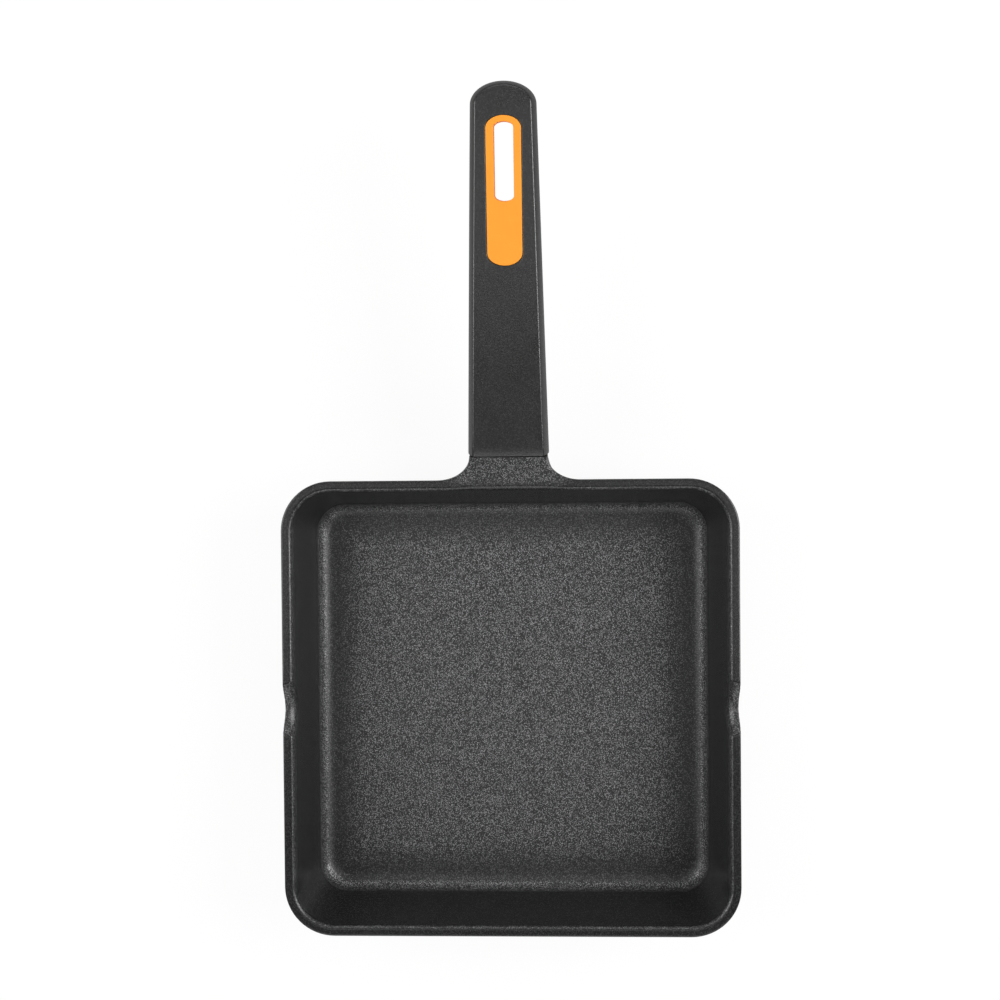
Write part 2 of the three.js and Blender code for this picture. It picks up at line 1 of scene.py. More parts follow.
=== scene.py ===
# %% [markdown]
# # A square pan with a fixed handle
# The real pan is one aluminium casting with a speckled non-stick coat. A black moulded handle sits on
# a tang of the casting, and an orange insert with a hanging slot is let into the handle.
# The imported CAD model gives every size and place, so it is loaded first and never moved. Each piece is
# then modelled again here with a finer surface, and takes the place of its CAD node.

# %% Load the frame
import math

import bmesh
import bpy
from mathutils import Matrix, Vector


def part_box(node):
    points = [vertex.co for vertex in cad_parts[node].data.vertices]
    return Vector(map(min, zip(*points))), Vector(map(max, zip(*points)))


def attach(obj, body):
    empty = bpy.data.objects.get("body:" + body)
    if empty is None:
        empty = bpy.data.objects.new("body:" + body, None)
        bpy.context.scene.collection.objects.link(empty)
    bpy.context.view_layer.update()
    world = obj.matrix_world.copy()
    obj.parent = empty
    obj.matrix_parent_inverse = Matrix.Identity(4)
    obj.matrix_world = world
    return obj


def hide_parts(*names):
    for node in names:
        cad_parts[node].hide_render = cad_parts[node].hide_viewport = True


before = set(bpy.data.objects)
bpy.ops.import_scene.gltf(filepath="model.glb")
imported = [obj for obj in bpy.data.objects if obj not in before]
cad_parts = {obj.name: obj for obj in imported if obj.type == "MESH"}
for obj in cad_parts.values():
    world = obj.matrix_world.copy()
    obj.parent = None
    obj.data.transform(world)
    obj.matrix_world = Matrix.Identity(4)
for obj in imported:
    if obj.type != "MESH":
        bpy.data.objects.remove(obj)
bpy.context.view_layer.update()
MM = 0.001

# %% [markdown]
# ## Camera
# The photograph looks almost straight down, from a little towards the handle. A camera could be placed
# by eye, but here its place, turn and lens come from fitting the rim, the floor's edge and the handle,
# so that the render can be laid over the photograph.

# %% Camera
CAMERA_PLACE = (0.0235, 0.1165, 0.7441)
CAMERA_TURN = [math.radians(angle) for angle in (-1.265, 2.257, -0.493)]
CAMERA_LENS = 52.1

bpy.ops.object.camera_add(location=CAMERA_PLACE, rotation=CAMERA_TURN)
camera = bpy.context.object
camera.data.lens = CAMERA_LENS
bpy.context.scene.camera = camera
print("camera", round(camera.location.z / MM), "mm above the floor")

# %% [markdown]
# ## Small helpers for modelling by operators
# An operator works on whatever is selected. These helpers open a mesh with nothing selected, pick its
# elements by a test on their place, and cut one solid with another.

# %% Helpers for selecting
def edit(piece):
    """Opens the piece's mesh with nothing selected."""
    bpy.ops.object.select_all(action="DESELECT")
    piece.select_set(True)
    bpy.context.view_layer.objects.active = piece
    bpy.ops.object.mode_set(mode="EDIT")
    bpy.ops.mesh.select_all(action="DESELECT")


def close():
    bpy.ops.object.mode_set(mode="OBJECT")


def pick(kind, test):
    """Selects what passes the test in the open mesh, by VERT, EDGE or FACE, and returns the count."""
    bpy.ops.mesh.select_mode(type=kind)
    bpy.ops.mesh.select_all(action="DESELECT")
    data = bpy.context.object.data
    mesh = bmesh.from_edit_mesh(data)
    chosen = [e for e in {"VERT": mesh.verts, "EDGE": mesh.edges, "FACE": mesh.faces}[kind] if test(e)]
    for element in chosen:
        element.select_set(True)
    bmesh.update_edit_mesh(data)
    return len(chosen)


def start(name):
    """Names the primitive that was just added and puts its place into its mesh."""
    piece = bpy.context.object
    piece.name = name
    piece.data.name = name
    bpy.ops.object.transform_apply(location=True, rotation=True, scale=True)
    return piece


# %% Helpers for cutting and finishing
MERGE = 0.002 * MM
CUT_TOLERANCE = 0.0005 * MM
SMOOTH_ANGLE = math.radians(35)
LEVEL = 0.99
X_AXIS = Vector((1, 0, 0))
Y_AXIS = Vector((0, 1, 0))


def combine(piece, tool, operation):
    """Joins the tool to the piece, or cuts it away, and removes the tool."""
    modifier = piece.modifiers.new(operation.lower(), "BOOLEAN")
    modifier.operation = operation
    modifier.object = tool
    bpy.ops.object.select_all(action="DESELECT")
    bpy.context.view_layer.objects.active = piece
    bpy.ops.object.modifier_apply(modifier=modifier.name)
    bpy.data.objects.remove(tool)


def cut_into_strips(places, axis):
    """Cuts everything in the open mesh at each place along the axis, without taking anything away."""
    for place in places:
        bpy.ops.mesh.select_all(action="SELECT")
        bpy.ops.mesh.bisect(plane_co=axis * place, plane_no=axis, threshold=CUT_TOLERANCE)


def face_up(piece):
    """Selects the one face of the open mesh and turns it upwards."""
    pick("FACE", lambda face: True)
    if any(face.normal.z < 0 for face in bmesh.from_edit_mesh(piece.data).faces):
        bpy.ops.mesh.flip_normals()


def follow(profile):
    """Insets the selected face along a profile of (inset, rise along the face's normal)."""
    for (inset, rise), (next_inset, next_rise) in zip(profile, profile[1:]):
        bpy.ops.mesh.inset(thickness=next_inset - inset, depth=next_rise - rise, use_boundary=True)


def mend_skin(piece):
    """Merges doubled vertices and turns all faces outwards."""
    edit(piece)
    bpy.ops.mesh.select_all(action="SELECT")
    bpy.ops.mesh.remove_doubles(threshold=MERGE)
    bpy.ops.mesh.normals_make_consistent(inside=False)
    close()


def finish_piece(piece, node, materials):
    """Smooths the piece, gives it its materials and lets it stand for its CAD node."""
    bpy.ops.object.select_all(action="DESELECT")
    piece.select_set(True)
    bpy.context.view_layer.objects.active = piece
    bpy.ops.object.shade_smooth_by_angle(angle=SMOOTH_ANGLE)
    for material in materials:
        piece.data.materials.append(material)
    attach(piece, "root")
    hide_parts(node)
    print(piece.name, "has", len(piece.data.polygons), "faces")


# %% [markdown]
# ## Finishes: shared effects
# Effects that show on more than one finish are node groups. Handling marks make a surface shinier and
# duller in soft patches. Flecks are small round grains, each with a tone of its own. Grain is the fine
# unevenness of a sprayed or moulded skin. Turned rings are the circles that a lathe leaves on metal.
# Colours could be painted on images, but patterns worked out from the place on the object have no
# seams and stay sharp at any distance.

# %% Helpers for nodes
NUMBER = "NodeSocketFloat"
VECTOR = "NodeSocketVector"


def feed(tree, socket, value):
    """Links another node's output to a socket, or sets a plain value on it."""
    if isinstance(value, bpy.types.NodeSocket):
        tree.links.new(value, socket)
    else:
        socket.default_value = value


def add_node(tree, kind, settings=None, **inputs):
    """Adds a node. An input is a number, a colour, or another node's output; _ stands for a space."""
    node = tree.nodes.new(kind)
    for name, value in (settings or {}).items():
        setattr(node, name, value)
    for name, value in inputs.items():
        feed(tree, node.inputs[name.replace("_", " ")], value)
    return node


def new_group(name, inputs, outputs):
    """Starts a node group with number or vector sockets, and returns it with its two end nodes."""
    group = bpy.data.node_groups.new(name, "ShaderNodeTree")
    for socket, kind in inputs.items():
        group.interface.new_socket(name=socket, in_out="INPUT", socket_type=kind)
    for socket in outputs:
        group.interface.new_socket(name=socket, in_out="OUTPUT", socket_type=NUMBER)
    return group, group.nodes.new("NodeGroupInput"), group.nodes.new("NodeGroupOutput")


def spread(tree, value, low, high, to_low, to_high):
    """Maps a value from one range to another and returns the socket."""
    node = add_node(
        tree, "ShaderNodeMapRange", {"clamp": True}, Value=value, From_Min=low, From_Max=high,
        To_Min=to_low, To_Max=to_high,
    )
    return node.outputs["Result"]


def math_node(tree, operation, first, second=0.0):
    """Works out a number from one or two others and returns the socket."""
    node = add_node(tree, "ShaderNodeMath", {"operation": operation})
    for socket, value in zip(node.inputs, (first, second)):
        feed(tree, socket, value)
    return node.outputs["Value"]


def product(tree, first, second):
    return math_node(tree, "MULTIPLY", first, second)


def larger(tree, first, second):
    return math_node(tree, "MAXIMUM", first, second)


# %% Handling marks
CLOUD_RANGE = (0.3, 0.7)

marks_group, marks_in, marks_out = new_group(
    "handling_marks", {"Vector": VECTOR, "Scale": NUMBER, "Shiny": NUMBER, "Dull": NUMBER}, ["Roughness"]
)
cloud = add_node(
    marks_group, "ShaderNodeTexNoise", Vector=marks_in.outputs["Vector"], Scale=marks_in.outputs["Scale"],
    Detail=4.0, Roughness=0.6,
)
shiny, dull = marks_in.outputs["Shiny"], marks_in.outputs["Dull"]
marks = spread(marks_group, cloud.outputs["Fac"], *CLOUD_RANGE, shiny, dull)
marks_group.links.new(marks, marks_out.inputs["Roughness"])
print("group", marks_group.name)

# %% Flecks
FLECK_EDGE = (0.2, 0.6)

flecks_group, flecks_in, flecks_out = new_group(
    "flecks", {"Vector": VECTOR, "Scale": NUMBER, "Share": NUMBER}, ["Tone", "Height"]
)
cells = add_node(
    flecks_group, "ShaderNodeTexVoronoi", Vector=flecks_in.outputs["Vector"],
    Scale=flecks_in.outputs["Scale"], Randomness=1.0,
)
cell_tone = add_node(flecks_group, "ShaderNodeSeparateColor", Color=cells.outputs["Color"])
tone = cell_tone.outputs["Red"]
round_grain = spread(flecks_group, cells.outputs["Distance"], *FLECK_EDGE, 1.0, 0.0)
chosen = math_node(flecks_group, "LESS_THAN", cell_tone.outputs["Green"], flecks_in.outputs["Share"])
height = product(flecks_group, tone, round_grain)
shade = product(flecks_group, height, chosen)
for socket, value in (("Tone", shade), ("Height", height)):
    flecks_group.links.new(value, flecks_out.inputs[socket])
print("group", flecks_group.name)

# %% Grain
grain_group, grain_in, grain_out = new_group("grain", {"Vector": VECTOR, "Scale": NUMBER}, ["Height"])
grain = add_node(
    grain_group, "ShaderNodeTexNoise", Vector=grain_in.outputs["Vector"], Scale=grain_in.outputs["Scale"],
    Detail=2.0, Roughness=0.6,
)
grain_group.links.new(grain.outputs["Fac"], grain_out.inputs["Height"])
print("group", grain_group.name)

# %% Turned rings
rings_group, rings_in, rings_out = new_group(
    "turned_rings", {"Vector": VECTOR, "Spacing": NUMBER}, ["Ring"]
)
flat = add_node(
    rings_group, "ShaderNodeVectorMath", {"operation": "MULTIPLY"}, Vector=rings_in.outputs["Vector"]
)
flat.inputs[1].default_value = (1, 1, 0)
radius = add_node(
    rings_group, "ShaderNodeVectorMath", {"operation": "LENGTH"}, Vector=flat.outputs["Vector"]
)
turns = math_node(rings_group, "DIVIDE", radius.outputs["Value"], rings_in.outputs["Spacing"])
ring_noise = add_node(
    rings_group, "ShaderNodeTexNoise", {"noise_dimensions": "1D"}, W=turns, Scale=1.0, Detail=3.0
)
rings_group.links.new(ring_noise.outputs["Fac"], rings_out.inputs["Ring"])
print("group", rings_group.name)

# %% [markdown]
# ## Finishes: the materials
# Each material is one Principled shader. What is the same all over is set on its sockets, and the
# groups above drive only what changes from place to place: colour, roughness, metalness and the bump.

# %% A bare material
def new_material(name, **sockets):
    """A material with one Principled shader, and the object coordinates that its patterns read."""
    material = bpy.data.materials.new(name)
    material.use_nodes = True
    tree = material.node_tree
    shader = tree.nodes["Principled BSDF"]
    for socket, value in sockets.items():
        shader.inputs[socket.replace("_", " ")].default_value = value
    place = tree.nodes.new("ShaderNodeTexCoord").outputs["Object"]
    return material, tree, shader, place


def use_group(tree, group, **inputs):
    return add_node(tree, "ShaderNodeGroup", {"node_tree": group}, **inputs)


def blend_colours(tree, share, first, second):
    """Mixes two colours by a share that varies over the surface."""
    node = add_node(tree, "ShaderNodeMix", {"data_type": "RGBA"}, Factor=share)
    colours = [socket for socket in node.inputs if socket.type == "RGBA"]
    for socket, colour in zip(colours, (first, second)):
        socket.default_value = (*colour, 1)
    return next(socket for socket in node.outputs if socket.type == "RGBA")


def bump(tree, shader, height, depth):
    """Raises the surface by a height pattern of the given real depth."""
    node = add_node(tree, "ShaderNodeBump", Strength=1.0, Distance=depth, Height=height)
    tree.links.new(node.outputs["Normal"], shader.inputs["Normal"])


# %% [markdown]
# ## Finishes: the coat
# The casting is sprayed with a dark non-stick coat that has pale metallic flecks in it. On the floor it is
# rough and full of flecks. Along the foot of the walls the flecks are thinned out as painted shade, where
# the walls shade the floor. The walls are smooth and dark.
# The pouring dips and the neck show some flecks again. The rim's crest has flecks too, which are real grain
# and also paint a brighter highlight along it.
# These zones could be painted on as a mask, but they follow the form. So heights, distances from the
# middle and the way that a surface faces choose them, each with a soft edge between two values.

# %% Places on the coat
FACING_UP = (0.02, 0.18)
FLOOR_HEIGHTS = (8.5 * MM, 12.5 * MM)

coat, tree, shader, place = new_material("speckled_coat", IOR=1.5)
axes = add_node(tree, "ShaderNodeSeparateXYZ", Vector=place)
facing = add_node(tree, "ShaderNodeSeparateXYZ", Vector=place.node.outputs["Normal"])
coat_y = axes.outputs["Y"]
coat_z = axes.outputs["Z"]
off_middle_x = math_node(tree, "ABSOLUTE", axes.outputs["X"])
off_middle_y = math_node(tree, "ABSOLUTE", coat_y)
upward = spread(tree, facing.outputs["Z"], *FACING_UP, 0.0, 1.0)
on_floor = spread(tree, coat_z, *FLOOR_HEIGHTS, 1.0, 0.0)
print("floor zone up to", round(FLOOR_HEIGHTS[1] / MM, 1), "mm")

# %% Where the coat is rough
SMOOTH_PART = 0.1
NECK_PART = 0.8
NECK_CREST = 100 * MM
NECK_RANGE = (106.5 * MM, 111.5 * MM)
NECK_SIDES = (22 * MM, 34 * MM)
CREST_PART = 0.6
CREST_HIGHLIGHT_HEIGHTS = (44.8 * MM, 45.6 * MM)
CREST_TOP = (46.1 * MM, 46.45 * MM)
DIP_RANGE = (104.8 * MM, 106 * MM)

beside_neck = spread(tree, off_middle_x, *NECK_SIDES, 0.0, 1.0)
before_neck = math_node(tree, "LESS_THAN", coat_y, NECK_CREST)
off_neck = larger(tree, beside_neck, before_neck)
towards_joint = spread(tree, coat_y, *NECK_RANGE, 0.0, NECK_PART)
on_neck = product(tree, towards_joint, math_node(tree, "SUBTRACT", 1.0, off_neck))

# Flecks on the crest's inner rounding are real grain and also a painted highlight along the crest.
crest_grain_and_highlight = spread(tree, coat_z, *CREST_HIGHLIGHT_HEIGHTS, 0.0, CREST_PART)
in_dip = spread(tree, off_middle_x, *DIP_RANGE, 0.0, CREST_PART)
below_top = spread(tree, coat_z, *CREST_TOP, 1.0, 0.0)
crest_and_dips_with_highlight = product(tree, product(tree, larger(tree, crest_grain_and_highlight, in_dip), below_top), off_neck)

on_edges = larger(tree, on_neck, crest_and_dips_with_highlight)
rough_part = larger(tree, product(tree, larger(tree, on_floor, on_edges), upward), SMOOTH_PART)
print("smooth walls keep", SMOOTH_PART, "of the grain")

# %% Where the coat has flecks, and painted shade along the floor's edge
EDGE_SHADE_PART = 0.3
EDGE_SHADE_RANGE = (76 * MM, 88 * MM)
FILLET_HEIGHTS = (4.9 * MM, 6.2 * MM)

# Fewer flecks along the floor's edge are painted shade, where the walls shade the floor; the fillet keeps
# its flecks.
off_middle = larger(tree, off_middle_x, off_middle_y)
painted_edge_shade = spread(tree, off_middle, *EDGE_SHADE_RANGE, 1.0, EDGE_SHADE_PART)
on_fillet = spread(tree, coat_z, *FILLET_HEIGHTS, 0.0, 1.0)
floor_flecks_and_shade = product(tree, on_floor, larger(tree, painted_edge_shade, on_fillet))
fleck_part_with_painted_light = larger(tree, product(tree, larger(tree, floor_flecks_and_shade, on_edges), upward), SMOOTH_PART)
print("floor's edge keeps", EDGE_SHADE_PART, "of the flecks")

# %% Speckled non-stick coat
COAT_DARK = (0.01, 0.01, 0.0102)
COAT_LIGHT = (0.565, 0.565, 0.572)
COAT_FLECK_SIZE = 0.45 * MM
COAT_FLECK_SHARE = 0.8
COAT_GRAIN_SIZE = 0.5 * MM
COAT_GRAIN_DEPTH = 0.1 * MM
COAT_SMOOTH = 0.22
COAT_ROUGH = 0.38
COAT_WEAR = 0.05
COAT_MARKS_SCALE = 26.0

flecks = use_group(tree, flecks_group, Vector=place, Scale=1 / COAT_FLECK_SIZE, Share=COAT_FLECK_SHARE)
# The tone of the flecks carries painted shade along the floor's edge and a painted highlight on the crest.
coat_tone_with_painted_light = product(tree, flecks.outputs["Tone"], fleck_part_with_painted_light)
tree.links.new(blend_colours(tree, coat_tone_with_painted_light, COAT_DARK, COAT_LIGHT), shader.inputs["Base Color"])
tree.links.new(coat_tone_with_painted_light, shader.inputs["Metallic"])
shiny = spread(tree, rough_part, SMOOTH_PART, 1.0, COAT_SMOOTH, COAT_ROUGH)
dull = math_node(tree, "ADD", shiny, COAT_WEAR)
marks = use_group(tree, marks_group, Vector=place, Scale=COAT_MARKS_SCALE, Shiny=shiny, Dull=dull)
tree.links.new(marks.outputs["Roughness"], shader.inputs["Roughness"])
grain = use_group(tree, grain_group, Vector=place, Scale=1 / COAT_GRAIN_SIZE)
bump(tree, shader, product(tree, grain.outputs["Height"], rough_part), COAT_GRAIN_DEPTH)
print("material", coat.name)

# %% [markdown]
# ## Finishes: the handle and the insert
# The handle is a hard black moulding with a fine matt grain. The insert is a softer satin plastic, and its
# colour is a little uneven. Both could be one plain colour, but a moulded skin is never quite even, and
# the flecks, grain and handling marks break up the light that it mirrors.

# %% Matt black handle moulding
GRIP_DARK = (0.0095, 0.009, 0.009)
GRIP_LIGHT = (0.044, 0.042, 0.042)
GRIP_FLECK_SIZE = 0.6 * MM
GRIP_GRAIN_SIZE = 0.8 * MM
GRIP_GRAIN_DEPTH = 0.09 * MM
GRIP_SHINY = 0.26
GRIP_DULL = 0.32
GRIP_MARKS_SCALE = 40.0

grip_black, tree, shader, place = new_material("grained_black", IOR=1.7)
flecks = use_group(tree, flecks_group, Vector=place, Scale=1 / GRIP_FLECK_SIZE, Share=1.0)
grip_colour = blend_colours(tree, flecks.outputs["Tone"], GRIP_DARK, GRIP_LIGHT)
tree.links.new(grip_colour, shader.inputs["Base Color"])
marks = use_group(
    tree, marks_group, Vector=place, Scale=GRIP_MARKS_SCALE, Shiny=GRIP_SHINY, Dull=GRIP_DULL
)
tree.links.new(marks.outputs["Roughness"], shader.inputs["Roughness"])
grain = use_group(tree, grain_group, Vector=place, Scale=1 / GRIP_GRAIN_SIZE)
bump(tree, shader, grain.outputs["Height"], GRIP_GRAIN_DEPTH)
print("material", grip_black.name)

# %% Satin orange insert
ORANGE_DEEP = (0.85, 0.293, 0.0155)
ORANGE_PALE = (0.89, 0.32, 0.0225)
ORANGE_GRAIN_SIZE = 0.35 * MM
ORANGE_GRAIN_DEPTH = 0.004 * MM
ORANGE_FLECK_SHARE = 0.5
ORANGE_SHINY = 0.5
ORANGE_DULL = 0.62
ORANGE_MARKS_SCALE = 60.0

orange, tree, shader, place = new_material("satin_orange", IOR=1.45)
flecks = use_group(
    tree, flecks_group, Vector=place, Scale=1 / ORANGE_GRAIN_SIZE, Share=ORANGE_FLECK_SHARE
)
marks = use_group(
    tree, marks_group, Vector=place, Scale=ORANGE_MARKS_SCALE, Shiny=ORANGE_SHINY, Dull=ORANGE_DULL
)
orange_cloud = spread(tree, marks.outputs["Roughness"], ORANGE_SHINY, ORANGE_DULL, 0.0, 1.0)
tree.links.new(blend_colours(tree, orange_cloud, ORANGE_PALE, ORANGE_DEEP), shader.inputs["Base Color"])
tree.links.new(marks.outputs["Roughness"], shader.inputs["Roughness"])
bump(tree, shader, flecks.outputs["Height"], ORANGE_GRAIN_DEPTH)
print("material", orange.name)

# %% [markdown]
# ## Finishes: bare metal
# The base is faced on a lathe after the coating, so its metal shows fine rings round the middle. The rings
# could be modelled, but they are finer than a pixel, so a pattern drives the colour and the bump.

# %% Turned steel and bare aluminium
METAL_MARKS_SCALE = 45.0


def turned_metal(name, pale, dark, middle, spacing, depth, shiny, dull):
    """A bare metal with the rings of a lathe round an axis through the given point."""
    material, tree, shader, place = new_material(name, Metallic=1.0)
    centred = add_node(tree, "ShaderNodeMapping", Vector=place, Location=[-value for value in middle])
    rings = use_group(tree, rings_group, Vector=centred.outputs["Vector"], Spacing=spacing)
    marks = use_group(tree, marks_group, Vector=place, Scale=METAL_MARKS_SCALE, Shiny=shiny, Dull=dull)
    tree.links.new(blend_colours(tree, rings.outputs["Ring"], dark, pale), shader.inputs["Base Color"])
    tree.links.new(marks.outputs["Roughness"], shader.inputs["Roughness"])
    bump(tree, shader, rings.outputs["Ring"], depth)
    print("material", name)
    return material


BASE_MIDDLE = (0, 0, 0)
disc_steel = turned_metal(
    "turned_steel", pale=(0.62, 0.61, 0.59), dark=(0.48, 0.475, 0.465), middle=BASE_MIDDLE,
    spacing=0.6 * MM, depth=0.01 * MM, shiny=0.24, dull=0.36,
)
stud_aluminium = turned_metal(
    "bare_aluminium", pale=(0.78, 0.78, 0.79), dark=(0.64, 0.64, 0.65), middle=BASE_MIDDLE,
    spacing=0.6 * MM, depth=0.01 * MM, shiny=0.3, dull=0.42,
)

# %% [markdown]
# ## Pan: sizes
# The tray's wall is a profile that runs round a square with rounded corners: up the outside, over a
# rounded rim and down the inside to the floor. The profile is written as distances in from the rim's
# outer edge and heights above the hob, the same as in the CAD model, but in finer steps.

# %% Sizes of the tray
RIM_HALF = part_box("pan_body")[1].x
CORNER_RADIUS = 24.2 * MM
PAN_HEIGHT = 46.5 * MM
FLOOR_THICKNESS = 4.5 * MM
WALL_DRAFT = math.radians(11.5)
RIM_THICKNESS = 4.9 * MM
RIM_BAND_WIDTH = 2.5 * MM
RIM_BAND_DROP = 2.2 * MM
RIM_BAND_POWER = 6
RIM_EDGE = RIM_THICKNESS - RIM_BAND_WIDTH
BEAD_RETURN = 0.9 * MM
BEAD_HEIGHT = 3.4 * MM
FLOOR_FILLET = 7.4 * MM
CORNER_EASE = 0.33
BASE_FILLET = 9 * MM
EDGE_Z = PAN_HEIGHT - RIM_BAND_DROP
BEAD_Z = EDGE_Z - BEAD_HEIGHT
RIGHT_ANGLE = math.pi / 2


def mix(first, second, share):
    return first + (second - first) * share


def steps(count):
    """Shares from 0 to 1 in equal steps."""
    return [i / count for i in range(count + 1)]


def outer_inset(z):
    return BEAD_RETURN + (EDGE_Z - z) * math.tan(WALL_DRAFT)


def inner_inset(z):
    return RIM_THICKNESS + (PAN_HEIGHT - z) * math.tan(WALL_DRAFT)


def band_fall(distance):
    """Fall of the outer part of the rim at a distance from its outer edge."""
    inside = max(0.0, 1 - distance / RIM_BAND_WIDTH)
    return RIM_BAND_DROP * (1 - (1 - inside**RIM_BAND_POWER) ** (1 / RIM_BAND_POWER))


def crest_end(edge):
    """Inset at which the crest turns down into a rounding that runs smoothly into the inner wall."""
    return inner_inset(PAN_HEIGHT - edge * (1 - math.sin(WALL_DRAFT))) - edge * math.cos(WALL_DRAFT)


print("rim", round(2 * RIM_HALF / MM, 1), "mm wide")

# %% Profile of the tray
BAND_STEPS = 22
EDGE_STEPS = 8
FILLET_STEPS = 12
BEAD_STEPS = 5
WALL_STEPS = 18
INNER_RINGS = 12
INNER_RINGS_TOP = 43.5 * MM
INNER_RINGS_LOW = 33 * MM
FLAT_SUPPORT = 1.5 * MM


def floor_side_profile():
    """From the rim's outer edge over the crest and down to the floor."""
    points = []
    for share in steps(BAND_STEPS):
        inset = RIM_BAND_WIDTH * (1 - math.cos(share * RIGHT_ANGLE))
        points.append((inset, PAN_HEIGHT - band_fall(inset)))
    for share in steps(EDGE_STEPS):
        angle = share * (RIGHT_ANGLE - WALL_DRAFT)
        inset = crest_end(RIM_EDGE) + RIM_EDGE * math.sin(angle)
        points.append((inset, PAN_HEIGHT - RIM_EDGE * (1 - math.cos(angle))))
    for share in steps(INNER_RINGS):
        z = mix(INNER_RINGS_TOP, INNER_RINGS_LOW, share)
        points.append((inner_inset(z), z))
    fillet_top = FLOOR_THICKNESS + FLOOR_FILLET * (1 - math.sin(WALL_DRAFT))
    middle = inner_inset(fillet_top) + FLOOR_FILLET * math.cos(WALL_DRAFT)
    for share in steps(FILLET_STEPS):
        angle = mix(WALL_DRAFT, RIGHT_ANGLE, share)
        inset = middle - FLOOR_FILLET * math.cos(angle)
        points.append((inset, FLOOR_THICKNESS + FLOOR_FILLET * (1 - math.sin(angle))))
    points.append((middle + FLAT_SUPPORT, FLOOR_THICKNESS))
    return points


def base_side_profile():
    """From the rim's outer edge under the bead and down the outer wall to the base."""
    points = []
    for share in steps(BEAD_STEPS)[:-1]:
        points.append((BEAD_RETURN * (1 - math.cos(share * RIGHT_ANGLE)), mix(EDGE_Z, BEAD_Z, share)))
    fillet_top = BASE_FILLET * (1 - math.sin(WALL_DRAFT))
    for share in steps(WALL_STEPS):
        z = mix(BEAD_Z, fillet_top, share)
        points.append((outer_inset(z), z))
    middle = outer_inset(fillet_top) + BASE_FILLET * math.cos(WALL_DRAFT)
    for share in steps(FILLET_STEPS)[1:]:
        angle = mix(WALL_DRAFT, RIGHT_ANGLE, share)
        points.append((middle - BASE_FILLET * math.cos(angle), BASE_FILLET * (1 - math.sin(angle))))
    points.append((middle + FLAT_SUPPORT, 0))
    return points


floor_side = floor_side_profile()
base_side = base_side_profile()
print(len(floor_side) + len(base_side), "rings")

# %% [markdown]
# ## Pan: the tray
# The real tray is cast in a mould. It could be lofted from sections, but because every ring has the same
# outline, only further in, the Inset tool does it from one face: the outline of the rim is drawn once,
# filled, and inset step by step along the profile, first up and over to the floor, then from a second
# face down to the base.
# Columns are cut into the outline where the pouring dips and the neck need them, and nowhere else.
# Each inset makes the corners sharper, but the real tray is rounder inside than that, so the corner
# points of the inner rings are moved last.

# %% Outline of the rim
CORNER_STEPS = 16
NECK_LENGTH = 10.8 * MM
NECK_FLARE = 16 * MM
GRIP_WIDTH_FRONT = 39.4 * MM
NECK_STEP = 0.8 * MM
NECK_HALF = GRIP_WIDTH_FRONT / 2 - NECK_STEP
FLARE_END = NECK_HALF + NECK_FLARE
FLARE_STEPS = 26
NECK_EDGE_STEPS = 8
NECK_TOP_STEPS = 4
DIP_REACH = 18 * MM
DIP_COLUMNS = 72

bpy.ops.mesh.primitive_plane_add(size=2 * RIM_HALF, location=(0, 0, EDGE_Z))
pan = start("coated_pan")
edit(pan)
bpy.ops.mesh.select_all(action="SELECT")
bpy.ops.mesh.bevel(offset=CORNER_RADIUS, segments=CORNER_STEPS, affect="VERTICES")
bpy.ops.mesh.delete(type="ONLY_FACE")

neck_columns = [FLARE_END - NECK_FLARE * math.sin(share * RIGHT_ANGLE) for share in steps(FLARE_STEPS)]
neck_columns += [NECK_HALF - RIM_BAND_WIDTH * share for share in steps(NECK_EDGE_STEPS)[1:]]
neck_columns += [mix(NECK_HALF - RIM_BAND_WIDTH, 0, share) for share in steps(NECK_TOP_STEPS)[1:]]
for place in sorted({*neck_columns, *[-column for column in neck_columns]}):
    pick("EDGE", lambda edge: all(v.co.y > RIM_HALF - CUT_TOLERANCE for v in edge.verts))
    bpy.ops.mesh.bisect(plane_co=X_AXIS * place, plane_no=X_AXIS, threshold=CUT_TOLERANCE)
for share in steps(DIP_COLUMNS):
    pick("EDGE", lambda edge: all(abs(v.co.x) > RIM_HALF - CUT_TOLERANCE for v in edge.verts))
    place = mix(-DIP_REACH, DIP_REACH, share)
    bpy.ops.mesh.bisect(plane_co=Y_AXIS * place, plane_no=Y_AXIS, threshold=CUT_TOLERANCE)
print(pick("VERT", lambda vertex: True), "columns")

# %% Insets over the rim to the floor, and down to the base
pick("EDGE", lambda edge: True)
bpy.ops.mesh.edge_face_add()
bpy.ops.mesh.normals_make_consistent(inside=False)
face_up(pan)
follow(floor_side)
pick("EDGE", lambda edge: edge.is_boundary)
bpy.ops.mesh.edge_face_add()
bpy.ops.mesh.select_all(action="SELECT")
bpy.ops.mesh.normals_make_consistent(inside=False)
pick("FACE", lambda face: face.normal.z < -LEVEL)
follow([(inset, -z) for inset, z in base_side])
close()
print("tray of", len(pan.data.polygons), "faces")

# %% Rounder corners inside
WALL_LEAST = 2 * MM
CORNER_DRIFT = 1 * MM

corner_middle = RIM_HALF - CORNER_RADIUS
eased = 0
for vertex in pan.data.vertices:
    side = Vector((math.copysign(1, vertex.co.x), math.copysign(1, vertex.co.y)))
    out = vertex.co.xy * side - Vector((corner_middle, corner_middle))
    inset = CORNER_RADIUS - out.length
    above_floor = vertex.co.z > FLOOR_THICKNESS - CUT_TOLERANCE
    inside = inset > max(RIM_THICKNESS, outer_inset(vertex.co.z) + WALL_LEAST)
    if above_floor and inside and min(out) > -CORNER_DRIFT:
        ease = CORNER_EASE * (inset - RIM_THICKNESS)
        out *= 1 + ease / out.length
        out += Vector((corner_middle - ease, corner_middle - ease))
        vertex.co.xy = out * side
        eased += 1
print("eased", eased, "vertices in the corners")

